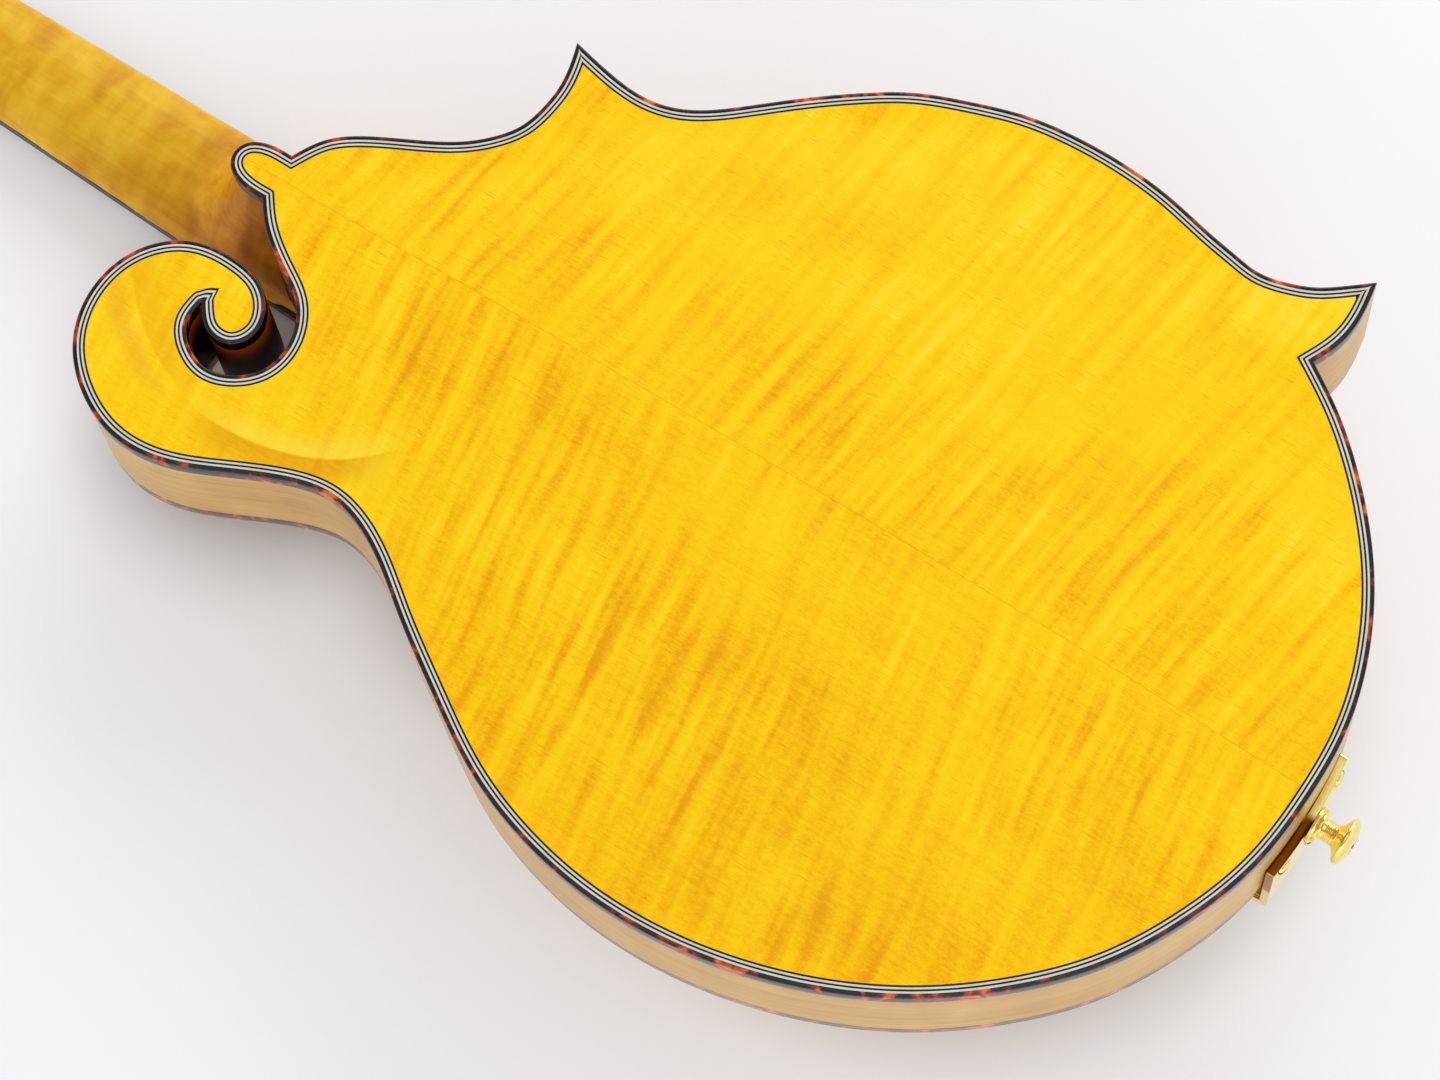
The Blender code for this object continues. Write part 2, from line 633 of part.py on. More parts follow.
def head_outline(shrink=0.0, start=0.0):
    side = smooth_curve(HEAD_EDGE, lambda x: 8.0)
    side = [(max(x, start), max(y - shrink, 0)) for x, y in side]
    return side + [(x, -y) for x, y in side[-2::-1]]


head_wood = prism("cut_head", head_outline(), OVERLAY + GAP, HEAD_BACK, "neck", matrix=HEAD, cutter=True)
boolean(neck, head_wood, "UNION")
volute = neck_section(0, 14.6, 14.2)
levels = [[(x + s, y, z) for x, y, z in neck_section(JOINT_TO_NUT, 14.4, board_half(JOINT_TO_NUT) + 0.2)] for s in (-8,)]
levels.append([(JOINT_TO_NUT + 14, y * 1.12, NECK_TOP + 3 + (z - NECK_TOP) * 0.9) for x, y, z in neck_section(0, 15.4, board_half(JOINT_TO_NUT))])
points, faces = rings(levels)
boolean(neck, solid("cut_volute", points, faces, "neck", matrix=NECK, cutter=True), "UNION")

overlay = prism("headstock_overlay", head_outline(0.0, 0.6), 0, OVERLAY, "ebony", matrix=HEAD)

# ---------------------------------------------------------------- fingerboard, nut, truss rod
edge = []
board_end, board_nut = -54.0, JOINT_TO_NUT - GAP
fret_at = [JOINT_TO_NUT - SCALE * (1 - 2 ** (-k / 12)) for k in range(1, FRETS + 1)]
for x in sorted(fret_at):
    edge += [(x - 0.9, 0.0), (x - 0.45, -0.9), (x + 0.45, -0.9), (x + 0.9, 0.0)]
edge = [(board_end, BOARD_THICK), (board_end, 0.0)] + edge + [(board_nut, 0.0), (board_nut, BOARD_THICK)]
points, faces = rings([[(x, board_half(x), z) for x, z in edge], [(x, -board_half(x), z) for x, z in edge]])
solid("fingerboard", points, faces, "ebony", matrix=NECK)

nut_top = -(STRING_OVER_NUT - COURSES[0][1] - GAP)
nut_edge = [(JOINT_TO_NUT, BOARD_THICK), (JOINT_TO_NUT, nut_top + 0.1), (JOINT_TO_NUT + 1.4, nut_top), (JOINT_TO_NUT + 4.4, nut_top + 1.6), (JOINT_TO_NUT + 4.4, BOARD_THICK)]
points, faces = rings([[(x, y, z) for x, z in nut_edge] for y in (NUT_WIDTH / 2, -NUT_WIDTH / 2)])
solid("nut", points, faces, "bone", matrix=NECK)
boolean(neck, box("cut_nut_room", (JOINT_TO_NUT - 2, -20, -8), (JOINT_TO_NUT + 4.7, 20, NECK_TOP), "neck", matrix=NECK, cutter=True))

ROD_Z = 11.5
boolean(neck, box("cut_channel", (12, -3.3, 0), (JOINT_TO_NUT + 8, 3.3, 15.0), "neck", matrix=NECK, cutter=True))
boolean(neck, box("cut_rod_pocket", (JOINT_TO_NUT + 6.6, -5.4, -4), (JOINT_TO_NUT + 27, 5.4, 15.6), "neck", matrix=NECK, cutter=True))
boolean(overlay, box("cut_overlay_pocket", (JOINT_TO_NUT + 6.6, -5.4, -6), (JOINT_TO_NUT + 27, 5.4, 15.6), "neck", matrix=NECK, cutter=True))
TURN_X = Matrix.Rotation(math.pi / 2, 4, "Y")  # a turned piece laid along x
turned("truss_rod", [(2.4, 0), (2.4, JOINT_TO_NUT - 15 + 8.6), (1.9, JOINT_TO_NUT - 15 + 8.6), (1.9, JOINT_TO_NUT - 15 + 16)], 10, "steel",
       matrix=NECK @ Matrix.Translation((15, 0, ROD_Z)) @ TURN_X)
rod_nut = turned("truss_rod_nut", [(4.0, 0), (4.0, 8.5), (3.2, 9.5)], 6, "steel", smooth=None,
                 matrix=NECK @ Matrix.Translation((JOINT_TO_NUT + 10.0, 0, ROD_Z)) @ TURN_X, turn=math.pi / 6)
boolean(rod_nut, rod("cut_rod_nut", 2.2, 9.0, 10, "steel", NECK @ Matrix.Translation((JOINT_TO_NUT + 9.0, 0, ROD_Z)) @ TURN_X, cutter=True))
cover_edge = [(4.0, 5.5), (9, 9.0), (18, 9.8), (26, 7.5), (33, 4.2), (39, 3.4), (42, 0)]
prism("truss_rod_cover", cover_edge + [(x, -y) for x, y in cover_edge[-2::-1]], -1.8, -GAP, "black", matrix=HEAD)

# ---------------------------------------------------------------- tuners
PLATE_Z = HEAD_BACK + GAP
WORM_OFF = 8.4           # worm's axis from the post's, along the head
WORM_Z = PLATE_Z + 1.2 + 0.3 + 1.9
for word, side in (("bass", 1), ("treble", -1)):
    plate = box(f"tuner_plate_{word}", (23, side * 9.0 if side > 0 else -24.5, PLATE_Z), (115, 24.5 if side > 0 else -9.0, PLATE_Z + 1.2), "gold", matrix=HEAD)
    for k, s in enumerate(POST_ALONG):
        x = s
        y = side * POST_SIDE
        for piece, zz in ((neck, (OVERLAY - 2, 20)), (overlay, (-2, 4)), (plate, (12, 20))):
            boolean(piece, rod(f"cut_post_{word}_{k}_{piece.name}", 3.3, zz[1] - zz[0], 10, "gold", HEAD @ Matrix.Translation((x, y, zz[0])), cutter=True))
        # lugs that carry the worm
        wx = x + WORM_OFF
        for tag, at in (("in", 10.0), ("out", 22.6)):
            lug = box(f"cut_lug_{tag}_{word}_{k}", (wx - 2.6, min(side * at, side * (at + 1.6)), PLATE_Z + 0.4), (wx + 2.6, max(side * at, side * (at + 1.6)), WORM_Z + 2.6), "gold", matrix=HEAD, cutter=True)
            boolean(plate, lug, "UNION")
    for k, s in enumerate(POST_ALONG):
        wx = s + WORM_OFF
        bore = rod(f"cut_bore_{word}_{k}", 1.45, 20, 6, "gold", HEAD @ Matrix.Translation((wx, side * 8.0, WORM_Z)) @ Matrix.Rotation(-side * math.pi / 2, 4, "X"), cutter=True)
        boolean(plate, bore)


def gear_post(name, x, y):
    """A string post through the head with its gear wheel behind the plate, about its own z axis."""
    z0, z1 = PLATE_Z + 1.2 + 0.3, PLATE_Z + 1.2 + 0.3 + 3.6
    teeth, ring = 12, []
    for k in range(teeth):
        for part, r in ((0.0, 4.9), (0.5, 5.8)):
            a = math.tau * (k + part) / teeth
            ring.append((r * math.cos(a), r * math.sin(a)))
    points, faces = rings([[(p, q, z0) for p, q in ring], [(p, q, z1) for p, q in ring]])
    gear = solid(name, points, faces, "gold", matrix=HEAD @ Matrix.Translation((x, y, 0)))
    stem = turned(f"cut_{name}", [(2.9, -9.4), (2.9, -6.9), (2.5, -6.2), (2.5, -5.0), (2.9, -4.3), (2.9, z0 + 0.5)], 8, "gold",
                  matrix=HEAD @ Matrix.Translation((x, y, 0)), cutter=True)
    boolean(gear, stem, "UNION")


def worm(name, x, side):
    """A worm on its shaft, with an oval button outside the head, about its own z axis."""
    y0 = 10.0
    profile = [(1.05, -1.2), (1.05, 2.2), (2.2, 2.6), (2.2, 11.6), (1.05, 12.2), (1.05, 19.6), (2.6, 20.4), (3.0, 22.6)]
    matrix = HEAD @ Matrix.Translation((x, side * y0, WORM_Z)) @ Matrix.Rotation(-side * math.pi / 2, 4, "X")
    shaft = turned(name, profile + [(2.2, 23.6)], 8, "gold", matrix=matrix)
    rows = []
    for z, r in ((22.8, 3.2), (24.0, 6.0), (28.0, 7.6), (32.5, 7.2), (35.5, 4.6)):
        rows.append([(r * math.cos(math.tau * i / 10), 0.66 * r * math.sin(math.tau * i / 10), z) for i in range(10)])
    points, faces = rings(rows)
    button = solid(f"cut_{name}", points, faces, "pearl", matrix=matrix, cutter=True)
    boolean(shaft, button, "UNION")


for word, side in (("bass", 1), ("treble", -1)):
    for k, s in enumerate(POST_ALONG):
        gear_post(f"tuner_post_{word}_{k + 1}", s, side * POST_SIDE)
        worm(f"tuner_button_{word}_{k + 1}", s + WORM_OFF, side)

# ---------------------------------------------------------------- bridge
string_at_bridge = NECK @ Vector((-JOINT_TO_BRIDGE, 0, -STRING_OVER_BRIDGE))  # outer side of the strings over the saddle
SADDLE_TOP = string_at_bridge.z + 1.02 + GAP
BASE_TOP = -TOP_ARCH - 6.6
SADDLE_FOOT = BASE_TOP - 4.4
STUD_Y = 34.0


def across(ys, z):
    return [(y, z(y)) for y in ys]


def crosswise(name, outline_yz, x0, x1, finish, **more):
    points, faces = rings([[(x0, y, z) for y, z in outline_yz], [(x1, y, z) for y, z in outline_yz]])
    return solid(name, points, faces, finish, **more)


ys = [-58, -48, -36, -24, -12, 0, 12, 24, 36, 48, 58]
foot_line = [(y, -TOP_ARCH * max(arch(BRIDGE_X + s, y) for s in (-6, 0, 6)) - GAP - 0.1) for y in ys]
base_line = [(58, foot_line[-1][1] - 3.0), (50, BASE_TOP + 2.4), (42, BASE_TOP), (-42, BASE_TOP), (-50, BASE_TOP + 2.4), (-58, foot_line[0][1] - 3.0)]
base = crosswise("bridge_base", foot_line + base_line, BRIDGE_X - 5.5, BRIDGE_X + 5.5, "ebony")
points, faces = rings([[(BRIDGE_X + x, y, z) for y, z in ((-46, SADDLE_FOOT), (46, SADDLE_FOOT), (46, SADDLE_FOOT - 2.6), (25, SADDLE_TOP + ease), (-25, SADDLE_TOP + ease), (-46, SADDLE_FOOT - 2.6))]
                       for x, ease in ((-3.6, 1.2), (-1.2, 0.0), (1.2, 0.0), (3.6, 1.2))])
saddle = solid("bridge_saddle", points, faces, "ebony")
for word, side in (("bass", 1), ("treble", -1)):
    at = Matrix.Translation((BRIDGE_X, side * STUD_Y, 0))
    rod(f"bridge_stud_{word}", 1.5, abs(SADDLE_FOOT - 2.0 - (BASE_TOP + 4.0)), 10, "gold", at @ Matrix.Translation((0, 0, SADDLE_FOOT - 2.0)))
    boolean(base, rod(f"cut_stud_base_{word}", 1.85, 20, 10, "gold", at @ Matrix.Translation((0, 0, BASE_TOP + 4.4 - 20)), cutter=True))
    boolean(saddle, rod(f"cut_stud_saddle_{word}", 1.85, 20, 10, "gold", at @ Matrix.Translation((0, 0, SADDLE_FOOT - 4.6)), cutter=True))
    wheel = turned(f"bridge_wheel_{word}", [(5.6, -1.3), (6.0, -0.9), (6.0, 0.9), (5.6, 1.3)], 16, "gold",
                   matrix=at @ Matrix.Translation((0, 0, SADDLE_FOOT + 1.8)))
    boolean(wheel, rod(f"cut_wheel_{word}", 1.85, 6, 10, "gold", at @ Matrix.Translation((0, 0, SADDLE_FOOT + 1.8 - 3)), cutter=True))

# ---------------------------------------------------------------- tailpiece and strap button
TAIL_HALF = 20.0
BASE_Z = -10.4
bent = [(TAIL_HALF * k / 8, (TAIL_HALF * k / 8) ** 2 / 320) for k in range(-8, 9)]  # the plate follows the curve of the sides
tail_plate = prism("tailpiece_base", [(-2.7 + sag, y) for y, sag in bent] + [(-GAP + sag, y) for y, sag in bent[::-1]], BASE_Z, 21.0, "gold")
deck = prism("cut_deck", [(-1.0, -19.4), (20, -19.2), (25, -18.7), (29, -18.0), (44, -17.0), (44, 17.0), (29, 18.0), (25, 18.7), (20, 19.2), (-1.0, 19.4)], BASE_Z, BASE_Z + 1.6, "gold", cutter=True)
boolean(tail_plate, deck, "UNION")
cover_out = [(-1.2, -19.8), (20, -21.2), (44, -20.8), (58, -16.5), (64, -9.0), (65.5, 0), (64, 9.0), (58, 16.5), (44, 20.8), (20, 21.2), (-1.2, 19.8)]
cover_in = [(0.0, -18.6), (20, -20.0), (43.5, -19.7), (57.1, -15.7), (62.8, -8.6), (64.2, 0), (62.8, 8.6), (57.1, 15.7), (43.5, 19.7), (20, 20.0), (0.0, 18.6)]


def slope(x):
    """Height of the cover's sheet: it rises towards the bridge, clear of the strings under it."""
    return -15.5 - 8.0 * (x + 4.6) / 72


def skirt(x, y):
    """Lower edge of the cover's wall, on the deck and clear of the arched face."""
    return min(BASE_Z - 0.4, -TOP_ARCH * arch(x, y) - 1.2)


levels = [
    [(x, y, skirt(x, y)) for x, y in cover_in],
    [(x, y, slope(x) + 1.1) for x, y in cover_in],
]
outer = [
    [(x, y, skirt(x, y)) for x, y in cover_out],
    [(x, y, slope(x)) for x, y in cover_out],
]
n = len(cover_out)
points = outer[0] + outer[1] + levels[0] + levels[1]
faces = []
for i in range(n):
    j = (i + 1) % n
    faces.append((i, j, n + j, n + i))
    faces.append((2 * n + i, 2 * n + j, 3 * n + j, 3 * n + i))
    faces.append((i, j, 2 * n + j, 2 * n + i))
faces.append(tuple(n + i for i in range(n)))
faces.append(tuple(3 * n + i for i in range(n)))
cover = solid("tailpiece_cover", points, faces, "gold")
boolean(cover, box("cut_cover_mouth", (52, -20.5, -20.9), (80, 20.5, 0), "gold", cutter=True))

STRAP_Z = 16.4
OUT_TAIL = Matrix.Translation((0, 0, STRAP_Z)) @ Matrix.Rotation(-math.pi / 2, 4, "Y")  # local z towards -x
turned("strap_button", [(2.2, -17), (2.2, 2.9), (5.2, 3.0), (5.3, 5.0), (3.2, 5.4), (3.0, 9.0), (5.6, 11.0), (7.1, 12.6), (6.4, 14.0), (3.5, 14.9)], 18, "gold", matrix=OUT_TAIL)
for piece in (tail_plate, rim_bass, rim_lower, tail_block):
    boolean(piece, rod(f"cut_pin_{piece.name}", 2.6, 30, 12, "gold", OUT_TAIL @ Matrix.Translation((0, 0, -17.6)), cutter=True))

# ---------------------------------------------------------------- strings
nut_line = NECK @ Vector((JOINT_TO_NUT + 1.2, 0, -STRING_OVER_NUT))
for c, (note, gauge) in enumerate(COURSES):
    for pair in (0, 1):
        slot = 2 * c + pair                       # 0 is the outer bass string
        y_bridge = 20.5 - c * 12.9 - pair * 2.4
        y_nut = 11.6 - c * 7.1 - pair * 1.9
        r = gauge / 2
        # The strings' outer sides lie in one plane, so that all of them bear at once.
        hook = Vector((34, y_bridge * 0.72, -13.6))
        over = Vector((BRIDGE_X, y_bridge, string_at_bridge.z + r))
        nut = Vector((nut_line.x, y_nut, nut_line.z + r))
        # Bass courses go to the bass row of posts, outer string to the nearest post.
        side = 1 if c < 2 else -1
        number = slot if c < 2 else 7 - slot
        post = HEAD @ Vector((POST_ALONG[number], side * (POST_SIDE - 2.5 - GAP - r - 0.35), -5.6))
        bend = over + (hook - over).normalized() * 1.6
        bend2 = over + (nut - over).normalized() * 1.6
        wire(f"string_{note}{pair + 1}", [hook, bend, bend2, nut - (nut - over).normalized() * 0.8, nut + (post - nut).normalized() * 0.8, post], r, 6, "bronze" if c < 2 else "steel")

# ---------------------------------------------------------------- set it down on its strings
tilt = math.atan2(nut_line.z - string_at_bridge.z, nut_line.x - string_at_bridge.x)
root.rotation_euler = (0, tilt, 0)
drop = (math.sin(tilt) * string_at_bridge.x - math.cos(tilt) * string_at_bridge.z) * 0.001
root.location = (-0.33035, 0.00335, drop)
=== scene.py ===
import math

import bmesh
import bpy
import numpy as np
from mathutils import Matrix, Vector, geometry


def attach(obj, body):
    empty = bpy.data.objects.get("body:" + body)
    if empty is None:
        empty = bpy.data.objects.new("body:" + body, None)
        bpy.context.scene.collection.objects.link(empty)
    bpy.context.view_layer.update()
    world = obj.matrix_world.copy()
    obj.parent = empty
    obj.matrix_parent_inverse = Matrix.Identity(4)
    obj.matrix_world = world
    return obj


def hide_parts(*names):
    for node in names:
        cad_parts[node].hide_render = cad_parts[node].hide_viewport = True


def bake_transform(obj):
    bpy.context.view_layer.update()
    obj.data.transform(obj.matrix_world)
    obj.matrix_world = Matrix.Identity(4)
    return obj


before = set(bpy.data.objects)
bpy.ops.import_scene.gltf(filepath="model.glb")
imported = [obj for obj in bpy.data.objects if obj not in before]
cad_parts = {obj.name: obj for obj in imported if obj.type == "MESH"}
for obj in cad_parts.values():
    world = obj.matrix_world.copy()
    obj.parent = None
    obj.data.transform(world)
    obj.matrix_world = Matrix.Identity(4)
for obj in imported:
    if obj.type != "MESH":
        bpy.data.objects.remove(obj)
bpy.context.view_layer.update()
MAIN = "mandolin"

# ---------------------------------------------------------------- where things are
# The maker's frame of the body, in mm: x from the tail to the head, y to the bass side, z out of the back, with z = 0
# at the edge of the face. BODY sets it down on the strings, in metres.
TILT = 0.11122431197885088
BODY = Matrix.Translation((-0.33035, 0.00335, 0.05522994697326491)) @ Matrix.Rotation(TILT, 4, "Y")
DEPTH = 45.0
BACK_ARCH, TOP_ARCH = 7.0, 16.0
SCALE, JOINT_X, BOARD_Z = 352.4, 335.0, -14.5
NECK_ANGLE, HEAD_ANGLE = math.radians(6.0), math.radians(15.0)
TO_NUT = SCALE * (1 - 2 ** (-15 / 12))
TO_BRIDGE = SCALE - TO_NUT
BRIDGE_X = JOINT_X - TO_BRIDGE * math.cos(NECK_ANGLE)


def spot(x, z, angle):
    return Matrix.Translation((x, 0, z)) @ Matrix.Rotation(-angle, 4, "Y")


NECK = spot(JOINT_X, BOARD_Z, NECK_ANGLE)  # in mm, in the body's frame
head_at = NECK @ Vector((TO_NUT + 5.0, 0, 3.0))
HEAD = spot(head_at.x, head_at.z, NECK_ANGLE + HEAD_ANGLE)


def placed(matrix=None):
    """The world matrix of a frame given in mm in the body's frame; meshes in it are in metres."""
    if matrix is None:
        return BODY.copy()
    m = matrix.copy()
    m.translation = matrix.translation * 0.001
    return BODY @ m


# ---------------------------------------------------------------- camera
camera = bpy.data.objects.new("camera", bpy.data.cameras.new("camera"))
bpy.context.scene.collection.objects.link(camera)
right = Vector((-0.84145646, -0.53843679, -0.04513151))
up = Vector((0.50372285, -0.81193342, 0.2950041))
back = Vector((-0.19548484, 0.22549933, 0.95442953))
seat = Matrix((right, up, back)).transposed().to_4x4()
seat.translation = Vector((-93.6, 330.5, 1341.7)) * 0.001
camera.matrix_world = BODY @ seat
camera.data.lens = 125.0
camera.data.sensor_width = 36.0
camera.data.clip_start, camera.data.clip_end = 0.05, 50.0
bpy.context.scene.camera = camera
bpy.context.scene.view_settings.view_transform = "Standard"


# ---------------------------------------------------------------- finishes
def rgb(r, g, b):
    """A display colour, 0 to 255, as the linear one that shaders take."""
    return tuple(c / 255 / 12.92 if c / 255 <= 0.04045 else ((c / 255 + 0.055) / 1.055) ** 2.4 for c in (r, g, b)) + (1.0,)


class Finish:
    """A Principled material with short ways to build its nodes."""

    def __init__(self, name, **values):
        self.material = bpy.data.materials.new(name)
        self.material.use_nodes = True
        self.tree = self.material.node_tree
        self.surface = self.tree.nodes["Principled BSDF"]
        for key, value in values.items():
            self.surface.inputs[key.replace("_", " ")].default_value = value
        self.object = self.add("ShaderNodeTexCoord").outputs["Object"]

    def add(self, kind, inputs=None, **settings):
        node = self.tree.nodes.new(kind)
        for key, value in settings.items():
            setattr(node, key, value)
        for key, value in (inputs or {}).items():
            self.put(node.inputs[key], value)
        return node

    def put(self, socket, value):
        if isinstance(value, bpy.types.NodeSocket):
            self.tree.links.new(value, socket)
        else:
            socket.default_value = value

    def calc(self, operation, a, b=0.0, c=0.0, clamp=False):
        return self.add("ShaderNodeMath", {0: a, 1: b, 2: c}, operation=operation, use_clamp=clamp).outputs[0]

    def axes(self, vector=None):
        node = self.add("ShaderNodeSeparateXYZ", {0: self.object if vector is None else vector})
        return [self.calc("MULTIPLY", s, 1000.0) for s in node.outputs]

    def vec(self, x, y, z):
        return self.add("ShaderNodeCombineXYZ", {0: x, 1: y, 2: z}).outputs[0]

    def noise(self, vector, detail=2.0, rough=0.5, warp=0.0, scale=1.0):
        return self.add("ShaderNodeTexNoise", {"Vector": vector, "Scale": scale, "Detail": detail, "Roughness": rough, "Distortion": warp}).outputs[0]

    def stretched(self, fx, fy, fz, seed=0.0, detail=2.0, rough=0.5, warp=0.0):
        """Noise of the object's own mm, with that many cells per mm along each axis."""
        m = self.add("ShaderNodeMapping", {"Vector": self.object, "Location": (seed, seed * 1.7, seed * 0.6), "Scale": (fx * 1000, fy * 1000, fz * 1000)})
        return self.noise(m.outputs[0], detail, rough, warp)

    def ramp(self, factor, *stops, how="LINEAR"):
        node = self.add("ShaderNodeValToRGB", {0: factor})
        node.color_ramp.interpolation = how
        while len(node.color_ramp.elements) < len(stops):
            node.color_ramp.elements.new(0.5)
        for element, (at, colour) in zip(node.color_ramp.elements, stops):
            element.position = at
            element.color = colour if len(colour) == 4 else (*colour, 1)
        return node.outputs[0]

    def steps(self, factor, low, high, a=0.0, b=1.0):
        """A smooth step of the factor from low to high, given as a to b."""
        return self.add("ShaderNodeMapRange", {"Value": factor, "From Min": low, "From Max": high, "To Min": a, "To Max": b}, interpolation_type="SMOOTHSTEP").outputs[0]

    def mix(self, factor, a, b, blend="MIX"):
        node = self.add("ShaderNodeMix", data_type="RGBA", blend_type=blend)
        self.put(node.inputs[0], factor)
        self.put(node.inputs[6], a)
        self.put(node.inputs[7], b)
        return node.outputs[2]

    def colour(self, value):
        self.put(self.surface.inputs["Base Color"], value)
        return self

    def rough(self, value):
        self.put(self.surface.inputs["Roughness"], value)
        return self

    def bump(self, height, strength, distance=0.0005):
        node = self.add("ShaderNodeBump", {"Strength": strength, "Distance": distance, "Height": height})
        self.tree.links.new(node.outputs[0], self.surface.inputs["Normal"])
        return self


def flamed_back():
    """Bookmatched flamed maple under yellow lacquer: fine ripples lean towards the tail on both sides of the seam."""
    f = Finish("back_maple", Roughness=0.48, Coat_Weight=0.02, Coat_Roughness=0.2, Specular_IOR_Level=0.10)
    # the back's own axes are level, so its grain is turned to the body's
    level = BODY.inverted()
    f.object = f.add("ShaderNodeMapping", {"Vector": f.object, "Location": level.translation, "Rotation": level.to_euler()}).outputs[0]
    x, y, z = f.axes()
    away = f.calc("ABSOLUTE", y)
    sway = f.noise(f.vec(f.calc("MULTIPLY", x, 0.014), f.calc("MULTIPLY", y, 0.014), 4.0), 1.0)
    u = f.calc("ADD", f.calc("ADD", x, f.calc("MULTIPLY", away, 0.13)), f.calc("MULTIPLY", sway, 6.0))
    side = f.calc("MULTIPLY", f.steps(y, -0.15, 0.15), 3.0)
    ripple = f.noise(f.vec(f.calc("MULTIPLY", u, 0.25), f.calc("MULTIPLY", away, 0.024), side), 1.0, 0.5)
    fine = f.noise(f.vec(f.calc("MULTIPLY", u, 0.5), f.calc("MULTIPLY", away, 0.05), f.calc("ADD", side, 9.0)), 1.0, 0.5)
    strength = f.noise(f.vec(f.calc("MULTIPLY", x, 0.012), f.calc("MULTIPLY", y, 0.020), 17.0), 1.5, 0.5)
    strength = f.steps(strength, 0.32, 0.66, 0.5, 1.1)
    tone = f.calc("MULTIPLY", f.calc("ADD", f.calc("MULTIPLY", f.calc("SUBTRACT", ripple, 0.5), 0.9), f.calc("MULTIPLY", f.calc("SUBTRACT", fine, 0.5), 0.27)), strength)
    patch = f.noise(f.vec(f.calc("MULTIPLY", x, 0.018), f.calc("MULTIPLY", y, 0.026), 31.0), 2.0, 0.55)
    tone = f.calc("ADD", tone, f.calc("MULTIPLY", f.calc("SUBTRACT", patch, 0.5), 0.42))
    silk = f.noise(f.vec(f.calc("MULTIPLY", x, 0.35), f.calc("MULTIPLY", y, 0.9), 3.0), 2.0, 0.6)
    tone = f.calc("ADD", tone, f.calc("MULTIPLY", f.calc("SUBTRACT", silk, 0.5), 0.38))
    grain = f.noise(f.vec(f.calc("MULTIPLY", x, 0.012), f.calc("MULTIPLY", y, 0.40), 21.0), 3.0, 0.62)
    tone = f.calc("ADD", tone, f.calc("MULTIPLY", f.calc("SUBTRACT", grain, 0.5), 0.24))
    pores = f.noise(f.vec(f.calc("MULTIPLY", x, 1.1), f.calc("MULTIPLY", y, 2.4), 71.0), 2.0, 0.6)
    tone = f.calc("ADD", tone, f.calc("MULTIPLY", f.calc("SUBTRACT", pores, 0.5), 0.34))
    # painted light: the treble half is lightened and the bass half darkened, turning over towards the scroll
    tone = f.calc("ADD", tone, f.calc("MULTIPLY_ADD", f.calc("MULTIPLY", y, f.steps(x, 245.0, 300.0, 1.0, -0.9)), -0.0008, 0.5))
    # painted highlight: the back is lightened towards the lower point, where its recurve falls into shade
    tip = f.calc("MULTIPLY", f.steps(y, -112.0, -96.0, 1.0, 0.0), f.steps(x, 78.0, 96.0, 1.0, 0.0))
    tone = f.calc("ADD", tone, f.calc("MULTIPLY", tip, 0.2))
    base = f.ramp(tone, (0.20, rgb(238, 164, 4)), (0.36, rgb(250, 188, 5)), (0.50, rgb(255, 204, 10)), (0.66, rgb(255, 214, 22)), (0.90, rgb(255, 223, 50)))
    # fine brown fibres that run with the seam, in short lengths
    fibre = f.noise(f.vec(f.calc("MULTIPLY", x, 0.13), f.calc("MULTIPLY", y, 2.6), 41.0), 1.5, 0.5)
    sparse = f.noise(f.vec(f.calc("MULTIPLY", x, 0.03), f.calc("MULTIPLY", y, 0.06), 47.0), 1.0)
    fibre = f.calc("MULTIPLY", f.steps(fibre, 0.60, 0.74, 0.0, 0.40), f.steps(sparse, 0.36, 0.62, 0.3, 1.0))
    base = f.mix(fibre, base, rgb(196, 122, 6))
    # small brown flecks, gathered in patches
    speck = f.noise(f.vec(f.calc("MULTIPLY", x, 0.5), f.calc("MULTIPLY", y, 1.5), 51.0), 2.0, 0.6)
    where = f.noise(f.vec(f.calc("MULTIPLY", x, 0.03), f.calc("MULTIPLY", y, 0.03), 61.0), 1.0)
    specks = f.calc("MULTIPLY", f.steps(speck, 0.70, 0.80, 0.0, 0.6), f.steps(where, 0.5, 0.66))
    base = f.mix(specks, base, rgb(158, 82, 6))
    # the scroll's carved ridge: painted shade in a band outside it, a painted highlight in a band inside it, a deeper
    # orange arc along it, and painted shade in the hollow within it
    dx, dy = f.calc("SUBTRACT", x, 306.0), f.calc("SUBTRACT", y, 8.0)
    ridge = f.calc("SUBTRACT", f.calc("SQRT", f.calc("ADD", f.calc("MULTIPLY", dx, dx), f.calc("MULTIPLY", dy, dy))), f.calc("MULTIPLY_ADD", sway, 4.0, 59.0))
    along = f.calc("MULTIPLY", f.steps(x, 256.0, 274.0), f.steps(x, 300.0, 322.0, 1.0, 0.0))
    along = f.calc("MULTIPLY", along, f.steps(y, 25.0, 40.0))
    # painted shade: a darker band just outside the ridge
    under = f.calc("MULTIPLY", f.calc("MULTIPLY", f.steps(ridge, -0.3, 0.7), f.steps(ridge, 2.0, 11.0, 1.0, 0.0)), f.calc("MULTIPLY", along, f.steps(silk, 0.2, 0.7, 0.35, 0.75)))
    base = f.mix(under, base, rgb(224, 148, 8))
    # painted highlight: a paler band just inside the ridge
    over = f.calc("MULTIPLY", f.calc("MULTIPLY", f.steps(ridge, -8.0, -0.8), f.steps(ridge, -0.3, 0.3, 1.0, 0.0)), f.calc("MULTIPLY", along, 0.5))
    base = f.mix(over, base, rgb(255, 224, 74))
    orange_arc = f.calc("MULTIPLY", f.steps(f.calc("ABSOLUTE", f.calc("SUBTRACT", ridge, 4.0)), 0.5, 4.5, 1.0, 0.0), f.calc("MULTIPLY", f.steps(x, 322.0, 338.0), f.steps(y, 38.0, 52.0)))
    base = f.mix(f.calc("MULTIPLY", orange_arc, f.steps(silk, 0.25, 0.7, 0.2, 0.5)), base, rgb(240, 156, 40))
